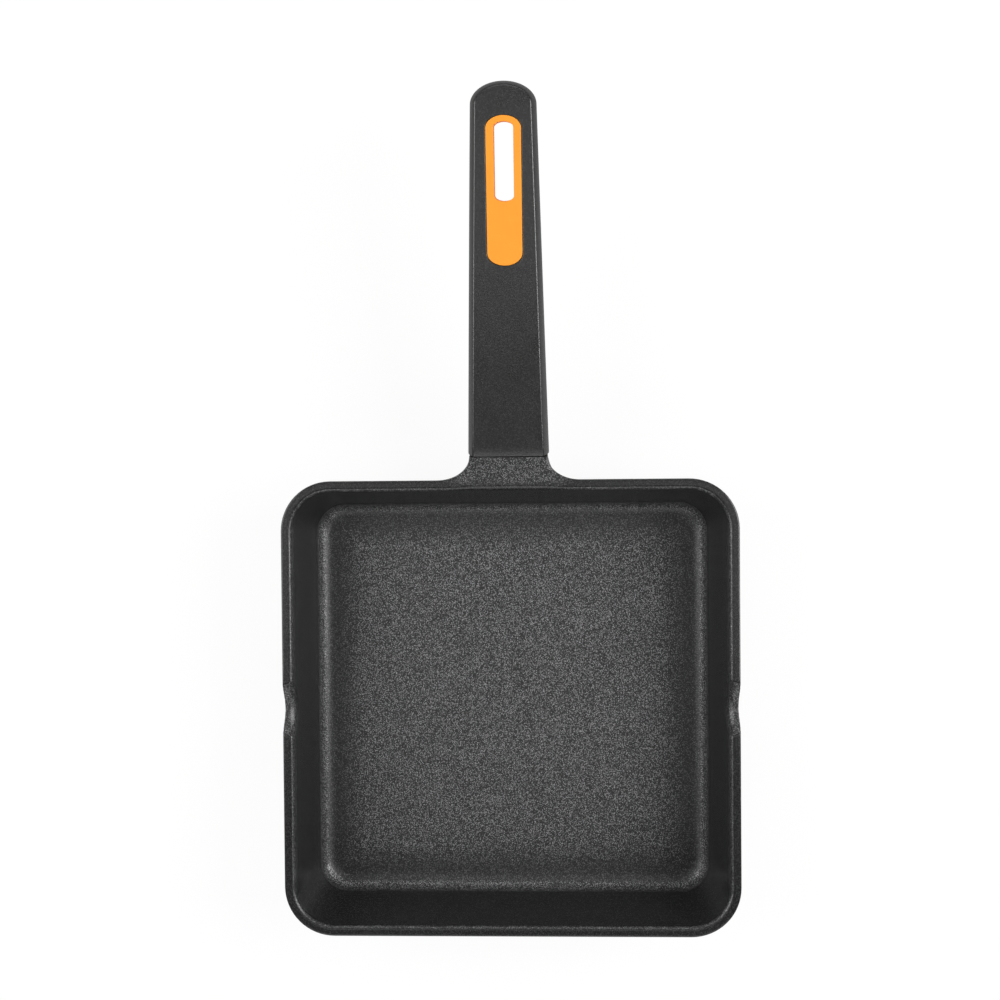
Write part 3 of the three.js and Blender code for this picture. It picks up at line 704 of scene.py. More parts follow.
# %% [markdown]
# ## Pan: the neck
# Behind, the rim swells out into a neck that the handle sits on. In the mould it is one smooth form with
# flared sides, a top that rises a little and an underside that curves down into the wall. Extruding a
# block would leave seams, so the wall's own vertices are drawn out instead: those on the middle of the
# neck move all the way to the joint, and those in the flare by a share that follows a quarter ellipse.

# %% Forms of the neck
NECK_RISE = 1.8 * MM
NECK_RUNOUT = 13 * MM
NECK_LIP = 3.6 * MM
GRIP_THICKNESS_FRONT = 20 * MM
NECK_THICKNESS = GRIP_THICKNESS_FRONT - NECK_STEP
HANDLE_RISE = math.radians(11.5)
JOINT_Y = RIM_HALF + NECK_LENGTH
JOINT_Z = PAN_HEIGHT + NECK_RISE
HANDLE = Matrix.Translation((0, JOINT_Y, JOINT_Z)) @ Matrix.Rotation(HANDLE_RISE, 4, "X")
UNDERSIDE_SHARE = 0.7
BEAD_SHARE = 0.3
BEAD_FADE = 0.15
FLARE_POINTS = 90
FLARE_SPARE = 4 * MM


def clamp(value, low=0.0, high=1.0):
    return max(low, min(high, value))


def neck_share(x):
    """Share of the neck's length that its flared side reaches at a distance from the middle."""
    across = clamp((FLARE_END - abs(x)) / NECK_FLARE)
    return 1 - math.sqrt(1 - across * across)


def neck_rise(y):
    """Rise of the neck's top above the crest of the rim."""
    crest_y = RIM_HALF - RIM_BAND_WIDTH
    return NECK_RISE * clamp((y - crest_y) / (JOINT_Y - crest_y)) ** 2


flare_x = [mix(NECK_HALF, FLARE_END, share) for share in steps(FLARE_POINTS)]
flare_line = [Vector((x, RIM_HALF + NECK_LENGTH * neck_share(x))) for x in flare_x]
flare_line.append(Vector((FLARE_END + FLARE_SPARE, RIM_HALF)))


def distance_to(point, first, last):
    """Distance from a point to a straight stretch between two others."""
    way = last - first
    share = clamp((point - first).dot(way) / way.length_squared)
    return (point - (first + way * share)).length


def edge_fall(x, y):
    """Fall of the rounded outer part of the rim at a point seen from above."""
    point = Vector((abs(x), y))
    stretches = zip(flare_line, flare_line[1:])
    return band_fall(min(distance_to(point, first, last) for first, last in stretches))


def on_joint(depth):
    """Y and z of a point on the joint's plane, below the middle of its top."""
    point = HANDLE @ Vector((0, 0, -depth))
    return point.y, point.z


heel_y, heel_z = on_joint(NECK_THICKNESS)
FOOT_Z = heel_z - NECK_RUNOUT
foot_y = RIM_HALF - outer_inset(FOOT_Z)


def neck_underside(z):
    """Where a ring of the outer wall, at a height z, runs on the middle of the neck."""
    share = clamp((z - FOOT_Z) / (BEAD_Z - FOOT_Z))
    if share < UNDERSIDE_SHARE:
        angle = share / UNDERSIDE_SHARE * RIGHT_ANGLE
        return heel_y - (heel_y - foot_y) * math.cos(angle), FOOT_Z + NECK_RUNOUT * math.sin(angle)
    up_the_end = (share - UNDERSIDE_SHARE) / (1 - UNDERSIDE_SHARE)
    up_the_bead = clamp((z - BEAD_Z) / BEAD_HEIGHT)
    return on_joint(NECK_THICKNESS * (mix(1, BEAD_SHARE, up_the_end) - BEAD_FADE * up_the_bead))


print("heel of the neck", round(heel_z / MM, 1), "mm above the hob")

# %% Draw the neck out
moved = 0
for vertex in pan.data.vertices:
    place = vertex.co
    inset = RIM_HALF - place.y
    share = neck_share(place.x)
    on_top = place.z > EDGE_Z - CUT_TOLERANCE and inset < RIM_THICKNESS + RIM_EDGE
    off_wall = abs(inset - outer_inset(place.z))
    on_wall = FOOT_Z < place.z < EDGE_Z and off_wall < 2 * BEAD_RETURN
    if abs(place.x) >= FLARE_END or place.y < 0 or not (on_top or on_wall):
        continue
    edge = mix(RIM_EDGE, NECK_LIP, share)
    if on_wall:
        neck_y, neck_z = neck_underside(place.z)
        place.y = mix(place.y, neck_y, share)
        place.z = mix(place.z, neck_z, share)
    elif inset < crest_end(RIM_EDGE) - CUT_TOLERANCE:
        plain = inset / crest_end(RIM_EDGE)
        even = math.acos(clamp(1 - inset / RIM_BAND_WIDTH)) / RIGHT_ANGLE
        end_y = RIM_HALF + NECK_LENGTH * share
        place.y = mix(end_y, RIM_HALF - crest_end(edge), mix(plain, even, share))
        place.z = PAN_HEIGHT + neck_rise(place.y) - edge_fall(place.x, place.y)
    else:
        angle = math.atan2(inset - crest_end(RIM_EDGE), place.z - PAN_HEIGHT + RIM_EDGE)
        place.y = RIM_HALF - crest_end(edge) - edge * math.sin(angle)
        rise = neck_rise(place.y) - edge_fall(place.x, place.y)
        place.z = PAN_HEIGHT + rise - edge * (1 - math.cos(angle))
    moved += 1
print("moved", moved, "vertices, joint at", round(JOINT_Y / MM, 1), "mm")

# %% [markdown]
# ## Pan: the pouring dips
# On the left and right the rim is scooped down to a shallow dip that rolls over into the inner wall, so
# that the pan pours to either side. A boolean cut with a turned tool would leave knife edges, while the
# coated casting is rounded there. So each column of the rim is laid over again: what stood above the
# scoop becomes the scoop, with rounded corners, and the vertices keep their share of the way along it.

# %% Form of the scoop
DIP_DEPTH = 4.4 * MM
DIP_HALF = 12 * MM
DIP_LIP = 1.1 * MM
DIP_ROLL_RUN = 6.3 * MM
DIP_ROLL_DROP = 8 * MM
DIP_OUTER_EDGE = 0.5 * MM
DIP_INNER_EDGE = 1.5 * MM
DIP_SOFTNESS = 0.35 * MM
DIP_RADIUS = (DIP_HALF**2 + DIP_DEPTH**2) / (2 * DIP_DEPTH)


def scoop(inset, y):
    """Height of the scooped surface, running softly into the crest at its ends."""
    roll = clamp((inset - DIP_LIP) / DIP_ROLL_RUN)
    radius = DIP_RADIUS + DIP_ROLL_DROP * (1 - math.sqrt(1 - roll * roll))
    below = DIP_DEPTH - DIP_RADIUS + math.sqrt(radius * radius - y * y)
    return PAN_HEIGHT - (below + math.sqrt(below * below + DIP_SOFTNESS**2)) / 2


print("dip", round(DIP_DEPTH / MM, 1), "mm deep, radius", round(DIP_RADIUS / MM, 1), "mm")

# %% Section of the rim through the scoop
DIP_STEPS = 14
ROUNDING_STEPS = 6
EDGE_SHARE = 0.3


def lengths_along(path):
    """The length from the start of a path to each of its points."""
    lengths = [0.0]
    for here, there in zip(path, path[1:]):
        lengths.append(lengths[-1] + math.dist(here, there))
    return lengths


def between(first, second, share):
    return mix(first[0], second[0], share), mix(first[1], second[1], share)


def point_at(path, lengths, length):
    """The point of a path at a length from its start."""
    for i in range(len(path) - 1):
        if length <= lengths[i + 1]:
            return between(path[i], path[i + 1], (length - lengths[i]) / (lengths[i + 1] - lengths[i]))
    return path[-1]


rim_profile = [*reversed(base_side), *floor_side[1:]]
along = lengths_along(rim_profile)


def crossing(y, order):
    """Length along the profile, and point, where it first rises above the scoop in the given order."""
    for a, b in zip(order, order[1:]):
        low = rim_profile[a][1] - scoop(rim_profile[a][0], y)
        high = rim_profile[b][1] - scoop(rim_profile[b][0], y)
        if low <= 0 < high:
            share = low / (low - high)
            return mix(along[a], along[b], share), between(rim_profile[a], rim_profile[b], share)


def rounding(first, corner, last):
    """A curve that leaves towards a corner and arrives from it."""
    shares = steps(ROUNDING_STEPS)
    return [between(between(first, corner, s), between(corner, last, s), s) for s in shares]


def dip_section(y):
    """Where the profile is laid over, and the path that it then follows, with its lengths."""
    order = range(len(rim_profile))
    first, outer = crossing(y, order)
    last, inner = crossing(y, order[::-1])
    outer_edge = min(DIP_OUTER_EDGE, EDGE_SHARE * (inner[0] - outer[0]))
    inner_edge = min(DIP_INNER_EDGE, EDGE_SHARE * (inner[0] - outer[0]))
    first -= outer_edge
    last += inner_edge
    insets = [mix(outer[0] + outer_edge, inner[0] - inner_edge, share) for share in steps(DIP_STEPS)]
    bottom = [(inset, scoop(inset, y)) for inset in insets]
    path = rounding(point_at(rim_profile, along, first), outer, bottom[0]) + bottom[1:-1]
    path += rounding(bottom[-1], inner, point_at(rim_profile, along, last))
    return first, last, path, lengths_along(path)


print("profile", round(along[-1] / MM), "mm long")

# %% Lay the rim over in the dips
sections = {}
moved = 0
for vertex in pan.data.vertices:
    inset = RIM_HALF - abs(vertex.co.x)
    if abs(vertex.co.y) > DIP_REACH + CUT_TOLERANCE or inset > rim_profile[-1][0]:
        continue
    here = (inset, vertex.co.z)
    ring = min(range(len(rim_profile)), key=lambda i: math.dist(rim_profile[i], here))
    column = round(vertex.co.y / MM, 3)
    if column not in sections:
        sections[column] = dip_section(vertex.co.y)
    first, last, path, lengths = sections[column]
    if first < along[ring] < last:
        share = (along[ring] - first) / (last - first)
        inset, vertex.co.z = point_at(path, lengths, share * lengths[-1])
        vertex.co.x = math.copysign(RIM_HALF - inset, vertex.co.x)
        moved += 1
print("moved", moved, "vertices in", len(sections), "columns")

# %% [markdown]
# ## Pan: the seat of the disc, and the tang
# A perforated steel disc lies in a shallow recess of the base, and aluminium studs fill its holes. The
# recess could be drawn ring by ring, but a boolean cut is sure to leave the studs whole: a cylinder has
# the studs cut out of it first and is then cut out of the base.
# The tang is a bar that runs from the neck into the handle, with a hole for the screw.

# %% Studs on circles
DISC_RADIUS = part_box("induction_disc")[1].x
DISC_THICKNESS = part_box("induction_disc")[1].z
GAP = 0.3 * MM
HOLE_RADIUS = 3 * MM
HOLE_PITCH = 22 * MM
HOLE_CIRCLES = 3
FIRST_CIRCLE = 6
HOLE_SIDES = 24
DISC_SIDES = 160
PEG_TOP = 10 * MM
STUD_LOW = -0.1 * MM


def pegs(radius, low):
    """Round pegs where the disc has its holes, from a height up through the disc, as one object."""
    height = PEG_TOP - low
    made = []
    for circle in range(1, HOLE_CIRCLES + 1):
        for share in steps(FIRST_CIRCLE * circle)[:-1]:
            turn = Matrix.Rotation(2 * math.pi * share, 4, "Z")
            place = turn @ Vector((circle * HOLE_PITCH, 0, low + height / 2))
            bpy.ops.mesh.primitive_cylinder_add(
                vertices=HOLE_SIDES, radius=radius, depth=height, location=place
            )
            made.append(bpy.context.object)
    bpy.ops.object.select_all(action="DESELECT")
    for peg in made:
        peg.select_set(True)
    bpy.ops.object.join()
    return start("pegs")


recess_depth = 2 * (DISC_THICKNESS + GAP)
bpy.ops.mesh.primitive_cylinder_add(vertices=DISC_SIDES, radius=DISC_RADIUS + GAP, depth=recess_depth)
recess = start("recess")
combine(recess, pegs(HOLE_RADIUS - GAP, STUD_LOW), "DIFFERENCE")
combine(pan, recess, "DIFFERENCE")
print("recess of", round(2 * DISC_RADIUS / MM, 1), "mm with studs")

# %% Tang
TANG_WIDTH = 22 * MM
TANG_LENGTH = 52 * MM
TANG_TOP = -4.2 * MM
TANG_UNDERSIDE = -10.8 * MM
TANG_ROUND = 6 * MM
TANG_ROUND_STEPS = 8
TANG_HOLE_SIDES = 40
SCREW_Y = 24 * MM
SCREW_RADIUS = 2.5 * MM

tang_start = -NECK_LENGTH / 2
tang_middle = (TANG_TOP + TANG_UNDERSIDE) / 2


def is_upright_at_end(edge):
    """Whether an edge of the bar stands upright at its far end."""
    first, second = (vertex.co for vertex in edge.verts)
    at_end = min(first.y, second.y) > TANG_LENGTH - CUT_TOLERANCE
    return at_end and abs(first.z - second.z) > CUT_TOLERANCE


bpy.ops.mesh.primitive_cube_add(
    size=1,
    location=(0, (tang_start + TANG_LENGTH) / 2, tang_middle),
    scale=(TANG_WIDTH, TANG_LENGTH - tang_start, TANG_TOP - TANG_UNDERSIDE),
)
tang = start("tang")
edit(tang)
pick("EDGE", is_upright_at_end)
bpy.ops.mesh.bevel(offset=TANG_ROUND, segments=TANG_ROUND_STEPS)
close()
bpy.ops.mesh.primitive_cylinder_add(
    vertices=TANG_HOLE_SIDES, radius=SCREW_RADIUS + GAP, depth=TANG_WIDTH,
    location=(0, SCREW_Y, tang_middle),
)
combine(tang, start("screw_hole"), "DIFFERENCE")
tang.data.transform(HANDLE)
combine(pan, tang, "UNION")
print("tang", round(TANG_LENGTH / MM), "mm long")

# %% Finish the pan
STUD_FACE_HIGH = 0.1 * MM

mend_skin(pan)
finish_piece(pan, "pan_body", [coat, stud_aluminium])
for face in pan.data.polygons:
    on_stud = face.center.xy.length < DISC_RADIUS and face.center.z < STUD_FACE_HIGH
    face.material_index = 1 if on_stud else 0

# %% [markdown]
# ## Disc in the base
# The steel disc is stamped and pressed into the casting, so that the pan works on an induction hob. Its
# holes could be drawn in an outline, but a cylinder drilled with the same pegs as the recess, only wider,
# is sure to fit. Its outer edge gets a small chamfer.

# %% Disc
DISC_CHAMFER = 0.25 * MM
CHAMFER_STEPS = 2

bpy.ops.mesh.primitive_cylinder_add(
    vertices=DISC_SIDES, radius=DISC_RADIUS, depth=DISC_THICKNESS, location=(0, 0, DISC_THICKNESS / 2)
)
disc = start("steel_disc")
edit(disc)
pick("EDGE", lambda edge: abs(edge.verts[0].co.z - edge.verts[1].co.z) < CUT_TOLERANCE)
bpy.ops.mesh.bevel(offset=DISC_CHAMFER, segments=CHAMFER_STEPS)
close()
combine(disc, pegs(HOLE_RADIUS, -PEG_TOP), "DIFFERENCE")
finish_piece(disc, "induction_disc", [disc_steel])

# %% [markdown]
# ## Handle: sizes and the bending
# The handle is moulded. Its top is nearly flat and grows a little hollow, its sides bulge and its belly is
# round. It narrows and thins towards the tip, and it is arched a little along its length.
# All of that at once is hard to model, so the handle is first made straight, with an even thickness and
# its top at height 0. A last step bends it and sets it at its slope. The insert goes the same way, so it
# lies flush.

# %% Sizes of the grip
GRIP_LENGTH = 174.8 * MM
GRIP_WIDTH_TIP = 30.8 * MM
GRIP_THICKNESS_TIP = 14 * MM
GRIP_ARCH = 2 * MM
GRIP_HOLLOW = 0.9 * MM
GRIP_HOLLOW_FULL = 90 * MM
HOLLOW_FADE = 0.1
GRIP_TIP_DEPTH = 10.6 * MM
TIP_START = GRIP_LENGTH - GRIP_TIP_DEPTH


def grip_top(y):
    return 4 * GRIP_ARCH * (y / GRIP_LENGTH) * (1 - y / GRIP_LENGTH)


def grip_thickness(y):
    return mix(GRIP_THICKNESS_FRONT, GRIP_THICKNESS_TIP, y / GRIP_LENGTH)


def bend(piece):
    """Thins and arches a straight piece of the handle, and hollows its top."""
    for vertex in piece.data.vertices:
        place = vertex.co
        depth = -place.z / GRIP_THICKNESS_FRONT
        near_top = clamp(1 - depth / HOLLOW_FADE)
        half_width = mix(GRIP_WIDTH_FRONT, GRIP_WIDTH_TIP, place.y / TIP_START) / 2
        hollow = GRIP_HOLLOW * clamp(place.y / GRIP_HOLLOW_FULL) * near_top
        across = clamp(1 - (place.x / half_width) ** 2)
        place.z = grip_top(place.y) - depth * grip_thickness(place.y) - hollow * across
    print("bent", piece.name, "of", len(piece.data.vertices), "vertices")


print("grip", round(GRIP_LENGTH / MM, 1), "mm long")

# %% [markdown]
# ## Handle: an oval prism
# The insert, its pocket, the sleeve and the slot are all ovals with straight sides. Each could be joined
# from a box and two cylinders, but that leaves seams, and the ends are flatter than a circle. So a plane
# gets its four corners rounded until they meet, the ends are flattened to half ellipses, and it is extruded.

# %% Oval prism
OVAL_STEPS = 16


def oval_prism(name, width, length, end_depth, middle, low, high):
    """An upright oval with its length along y, left open for editing with its top face selected."""
    straight = length / 2 - end_depth
    bpy.ops.mesh.primitive_plane_add(size=1, location=(0, middle, low))
    bpy.context.object.scale = (width, 2 * straight + width, 1)
    piece = start(name)
    edit(piece)
    bpy.ops.mesh.select_all(action="SELECT")
    bpy.ops.mesh.bevel(offset=width / 2, segments=OVAL_STEPS, affect="VERTICES", clamp_overlap=False)
    bpy.ops.mesh.select_all(action="SELECT")
    bpy.ops.mesh.remove_doubles(threshold=MERGE)
    for side in (-1, 1):
        end = middle + side * straight
        pick("VERT", lambda vertex: side * (vertex.co.y - end) > CUT_TOLERANCE)
        flatten = (1, end_depth / (width / 2), 1)
        bpy.ops.transform.resize(value=flatten, center_override=(0, end, low))
    pick("FACE", lambda face: True)
    bpy.ops.mesh.extrude_region_move(TRANSFORM_OT_translate={"value": (0, 0, high - low)})
    bpy.ops.mesh.select_all(action="SELECT")
    bpy.ops.mesh.normals_make_consistent(inside=False)
    pick("FACE", lambda face: face.normal.z > LEVEL)
    return piece


# %% [markdown]
# ## Handle: the grip
# The real grip is pressed in a mould. It could be lofted from sections along its length, but its tip would
# then close in a pinch. So its widest outline, which lies halfway down, is drawn on a plane, and insets
# follow the section from there, up to the top face and down to the belly. The outline runs on in front
# of the joint and is cut off there, so that the front is flat.

# %% Outline of the grip
FRONT_SPARE = 12 * MM
TIP_STEPS = 20

bpy.ops.mesh.primitive_plane_add(size=1)
grip = bpy.context.object
outline_front = -FRONT_SPARE
outline_tip = TIP_START + GRIP_WIDTH_TIP / 2
grip.location = (0, (outline_front + outline_tip) / 2, -GRIP_THICKNESS_FRONT / 2)
grip.scale = (GRIP_WIDTH_TIP, outline_tip - outline_front, 1)
grip = start("handle_moulding")
edit(grip)
pick("VERT", lambda vertex: vertex.co.y > 0)
bpy.ops.mesh.bevel(
    offset=GRIP_WIDTH_TIP / 2, segments=TIP_STEPS, affect="VERTICES", clamp_overlap=False
)
bpy.ops.mesh.select_all(action="SELECT")
bpy.ops.mesh.remove_doubles(threshold=MERGE)
pick("VERT", lambda vertex: vertex.co.y > TIP_START + CUT_TOLERANCE)
flatten = (1, GRIP_TIP_DEPTH / (GRIP_WIDTH_TIP / 2), 1)
bpy.ops.transform.resize(value=flatten, center_override=(0, TIP_START, 0))
pick("VERT", lambda vertex: vertex.co.y < 0)
front_width = mix(GRIP_WIDTH_FRONT, GRIP_WIDTH_TIP, outline_front / TIP_START)
bpy.ops.transform.resize(value=(front_width / GRIP_WIDTH_TIP, 1, 1), center_override=(0, 0, 0))
print("grip outline of", pick("VERT", lambda vertex: True), "points")

# %% Section of the grip
SIDE_FLARE = 2.6 * MM
SIDE_CURVE = 1.8
SIDE_STEPS = 10
EDGE_DEPTH = 0.6 * MM
GRIP_EDGE_STEPS = 6
BELLY_REACH = 13 * MM
BELLY_POWER = 2.4
BELLY_STEPS = 14
BELLY_INSET = 6 * MM
TOP_SUPPORT = 1 * MM

half_thickness = GRIP_THICKNESS_FRONT / 2
side_top = half_thickness - EDGE_DEPTH
grip_sides = []
for share in steps(SIDE_STEPS):
    rise = share * side_top
    grip_sides.append((SIDE_FLARE * (rise / half_thickness) ** SIDE_CURVE, rise))
run = grip_sides[-1][0] - grip_sides[-2][0]
lean = math.atan2(run, side_top / SIDE_STEPS)
edge_radius = EDGE_DEPTH / (1 - math.sin(lean))
edge_inset = grip_sides[-1][0]
for share in steps(GRIP_EDGE_STEPS)[1:]:
    angle = mix(lean, RIGHT_ANGLE, share)
    inset = edge_inset + edge_radius * (math.cos(lean) - math.cos(angle))
    grip_sides.append((inset, side_top + edge_radius * (math.sin(angle) - math.sin(lean))))
grip_sides.append((grip_sides[-1][0] + TOP_SUPPORT, half_thickness))

grip_belly = []
for share in steps(BELLY_STEPS):
    down = math.sin(share * RIGHT_ANGLE)
    inset = BELLY_REACH * (1 - (1 - down**BELLY_POWER) ** (1 / BELLY_POWER))
    grip_belly.append((inset, half_thickness * down))
steep = [point for point in grip_belly if point[0] < BELLY_INSET]
shallow = grip_belly[len(steep):]
print("section of", len(grip_sides) + len(grip_belly), "layers")

# %% Insets up to the top face and down to the belly
face_up(grip)
follow(grip_sides)
pick("EDGE", lambda edge: edge.is_boundary)
bpy.ops.mesh.edge_face_add()
bpy.ops.mesh.select_all(action="SELECT")
bpy.ops.mesh.normals_make_consistent(inside=False)
pick("FACE", lambda face: face.normal.z < -LEVEL)
follow(steep)
half_width = GRIP_WIDTH_FRONT / 2
inset, depth = steep[-1]
for next_inset, next_depth in shallow:
    narrow = (half_width - next_inset) / (half_width - inset)
    shorten = (GRIP_LENGTH - next_inset) / (GRIP_LENGTH - inset)
    bpy.ops.mesh.extrude_region_move(TRANSFORM_OT_translate={"value": (0, 0, depth - next_depth)})
    bpy.ops.transform.resize(value=(narrow, shorten, 1), center_override=(0, 0, 0))
    inset, depth = next_inset, next_depth
print("belly of", len(grip_belly), "rings")

# %% Flat front with a softened edge
FRONT_ROUND = 0.5 * MM
SOFT_EDGE_STEPS = 3

bpy.ops.mesh.select_all(action="SELECT")
bpy.ops.mesh.bisect(
    plane_co=Y_AXIS * GAP, plane_no=Y_AXIS, use_fill=True, clear_inner=True, threshold=CUT_TOLERANCE
)
pick("EDGE", lambda edge: all(abs(v.co.y - GAP) < CUT_TOLERANCE for v in edge.verts))
bpy.ops.mesh.bevel(offset=FRONT_ROUND, segments=SOFT_EDGE_STEPS)
bpy.ops.mesh.select_all(action="SELECT")
bpy.ops.mesh.normals_make_consistent(inside=False)
close()
print("grip of", len(grip.data.polygons), "faces before the cuts")

# %% [markdown]
# ## Handle: the pocket and the insert
# The orange insert is a plate with a sleeve that lines the slot right through the handle. The pocket
# takes the same ovals, wider by the gap that shows as a fine dark line round the insert.

# %% Sizes of the insert
INLAY_WIDTH = 16.4 * MM
INLAY_LENGTH = 68 * MM
INLAY_END_DEPTH = 5.8 * MM
INLAY_FROM_TIP = 15.5 * MM
INLAY_DEPTH = 4.2 * MM
SLOT_WIDTH = 9.2 * MM
SLOT_LENGTH = 36 * MM
SLOT_END_DEPTH = 2.6 * MM
SLOT_BORDER = 2.7 * MM
SLEEVE_WALL = 2.4 * MM
SLEEVE_BOTTOM = -19.1 * MM
INLAY_MIDDLE = GRIP_LENGTH - INLAY_FROM_TIP - INLAY_LENGTH / 2
SLOT_MIDDLE = GRIP_LENGTH - INLAY_FROM_TIP - SLOT_BORDER - SLOT_LENGTH / 2
ABOVE = 6 * MM
BELOW = -26 * MM
OVERLAP = 1 * MM
SHARP_ANGLE = 1.0


def plate_oval(name, grow, low, high):
    width = INLAY_WIDTH + 2 * grow
    length = INLAY_LENGTH + 2 * grow
    return oval_prism(name, width, length, INLAY_END_DEPTH + grow, INLAY_MIDDLE, low, high)


def slot_oval(name, grow, low, high):
    width = SLOT_WIDTH + 2 * grow
    length = SLOT_LENGTH + 2 * grow
    return oval_prism(name, width, length, SLOT_END_DEPTH + grow, SLOT_MIDDLE, low, high)


def is_sharp_on_top(edge):
    """Whether an edge lies at height 0 and bends by more than the sharp angle."""
    on_top = all(abs(vertex.co.z) < CUT_TOLERANCE for vertex in edge.verts)
    return on_top and edge.calc_face_angle(0) > SHARP_ANGLE


def soften_top_edges(piece, width):
    """Rounds the sharp edges at height 0 of a straight piece."""
    edit(piece)
    count = pick("EDGE", is_sharp_on_top)
    bpy.ops.mesh.bevel(offset=width, segments=SOFT_EDGE_STEPS)
    close()
    print(piece.name, "has", count, "softened edges")


print("slot", round(SLOT_LENGTH / MM), "mm long")

# %% Pocket in the grip
POCKET_EDGE = 0.25 * MM

pocket = plate_oval("pocket", GAP, -INLAY_DEPTH - GAP, ABOVE)
close()
combine(grip, pocket, "DIFFERENCE")
sleeve_hole = slot_oval("sleeve_hole", SLEEVE_WALL + GAP, BELOW, -INLAY_DEPTH + OVERLAP)
close()
combine(grip, sleeve_hole, "DIFFERENCE")
soften_top_edges(grip, POCKET_EDGE)

# %% Strips along and across the grip, and the bend
STATION_SPACING = 3.7 * MM
FIRST_STATION = 5.4 * MM
STATIONS = 45
LINE_PLACES = (3.1 * MM, 6.3 * MM, 9.7 * MM, 12.3 * MM)

grip_stations = [FIRST_STATION + STATION_SPACING * i for i in range(STATIONS)]
grip_lines = [0.0] + [side * place for place in LINE_PLACES for side in (-1, 1)]
edit(grip)
cut_into_strips(grip_stations, Y_AXIS)
cut_into_strips(grip_lines, X_AXIS)
close()
bend(grip)

# %% Holes for the tang and the screw
SOCKET_FLOOR = -11.1 * MM
SEAT_Z = -13.5 * MM
COUNTERBORE_RADIUS = 5.1 * MM
BORE_SIDES = 48


def drill(piece, name, radius, low, high):
    """Drills a round hole square to the handle, where the screw goes."""
    bpy.ops.mesh.primitive_cylinder_add(
        vertices=BORE_SIDES, radius=radius, depth=high - low, location=(0, SCREW_Y, (low + high) / 2)
    )
    combine(piece, start(name), "DIFFERENCE")


bpy.ops.mesh.primitive_cube_add(
    size=1,
    location=(0, (TANG_LENGTH + GAP - OVERLAP) / 2, (SOCKET_FLOOR + TANG_TOP + GAP) / 2),
    scale=(TANG_WIDTH + 2 * GAP, TANG_LENGTH + GAP + OVERLAP, TANG_TOP + GAP - SOCKET_FLOOR),
)
combine(grip, start("socket"), "DIFFERENCE")
drill(grip, "bore", SCREW_RADIUS + GAP, SEAT_Z - OVERLAP, SOCKET_FLOOR + OVERLAP)
drill(grip, "counterbore", COUNTERBORE_RADIUS, BELOW, SEAT_Z)
grip.data.transform(HANDLE)
finish_piece(grip, "handle_grip", [grip_black])

# %% Insert
INLAY_EDGE = 0.4 * MM
INLAY_EDGE_STEPS = 5
SLOT_EDGE = 0.45 * MM

insert = plate_oval("slotted_insert", 0, -INLAY_DEPTH, -INLAY_EDGE)
edge_angles = [share * RIGHT_ANGLE for share in steps(INLAY_EDGE_STEPS)]
follow([(INLAY_EDGE * (1 - math.cos(angle)), INLAY_EDGE * math.sin(angle)) for angle in edge_angles])
close()
sleeve = slot_oval("sleeve", SLEEVE_WALL, SLEEVE_BOTTOM, -INLAY_DEPTH + OVERLAP)
close()
combine(insert, sleeve, "UNION")
slot_tool = slot_oval("slot", 0, BELOW, ABOVE)
close()
combine(insert, slot_tool, "DIFFERENCE")
soften_top_edges(insert, SLOT_EDGE)
insert_stations = [place for place in grip_stations if abs(place - INLAY_MIDDLE) < INLAY_LENGTH / 2]
insert_lines = [place for place in grip_lines if abs(place) < INLAY_WIDTH / 2]
edit(insert)
cut_into_strips(insert_stations, Y_AXIS)
cut_into_strips(insert_lines, X_AXIS)
close()
bend(insert)
insert.data.transform(HANDLE)
finish_piece(insert, "hanging_inlay", [orange])

# %% [markdown]
# ## Screw and washer
# One screw from below holds the grip on the tang, with a split spring washer under its head. The screw
# is turned, so a circle is extruded and resized from ring to ring along its profile, and a six-sided
# recess is cut into its head. The washer's section is spun round the screw, short of a full turn.

# %% Plated steel
screw_axis = HANDLE @ Vector((0, SCREW_Y, 0))
fastener_steel = turned_metal(
    "plated_steel", pale=(0.6, 0.6, 0.61), dark=(0.47, 0.47, 0.475), middle=screw_axis,
    spacing=0.35 * MM, depth=0.006 * MM, shiny=0.26, dull=0.38,
)

# %% Screw
HEAD_TOP = -15.2 * MM
HEAD_HEIGHT = 2.7 * MM
HEAD_RADIUS = 4.5 * MM
SHANK_INSIDE = 0.7 * MM
SHANK_END = TANG_TOP - SHANK_INSIDE
SHANK_CHAMFER = 0.8 * MM
DRIVE_ACROSS = 3.4 * MM
DRIVE_DEPTH = 1.7 * MM
DRIVE_SIDES = 6
HEAD_ROUND = 0.9 * MM
HEAD_STEPS = 6
SCREW_SIDES = 48

head_face = HEAD_TOP - HEAD_HEIGHT
screw_profile = []
for share in steps(HEAD_STEPS):
    angle = share * RIGHT_ANGLE
    radius = HEAD_RADIUS - HEAD_ROUND * (1 - math.sin(angle))
    screw_profile.append((radius, head_face + HEAD_ROUND * (1 - math.cos(angle))))
screw_profile += [(HEAD_RADIUS, HEAD_TOP), (SCREW_RADIUS, HEAD_TOP)]
screw_profile += [(SCREW_RADIUS, SHANK_END - SHANK_CHAMFER), (SCREW_RADIUS - SHANK_CHAMFER, SHANK_END)]

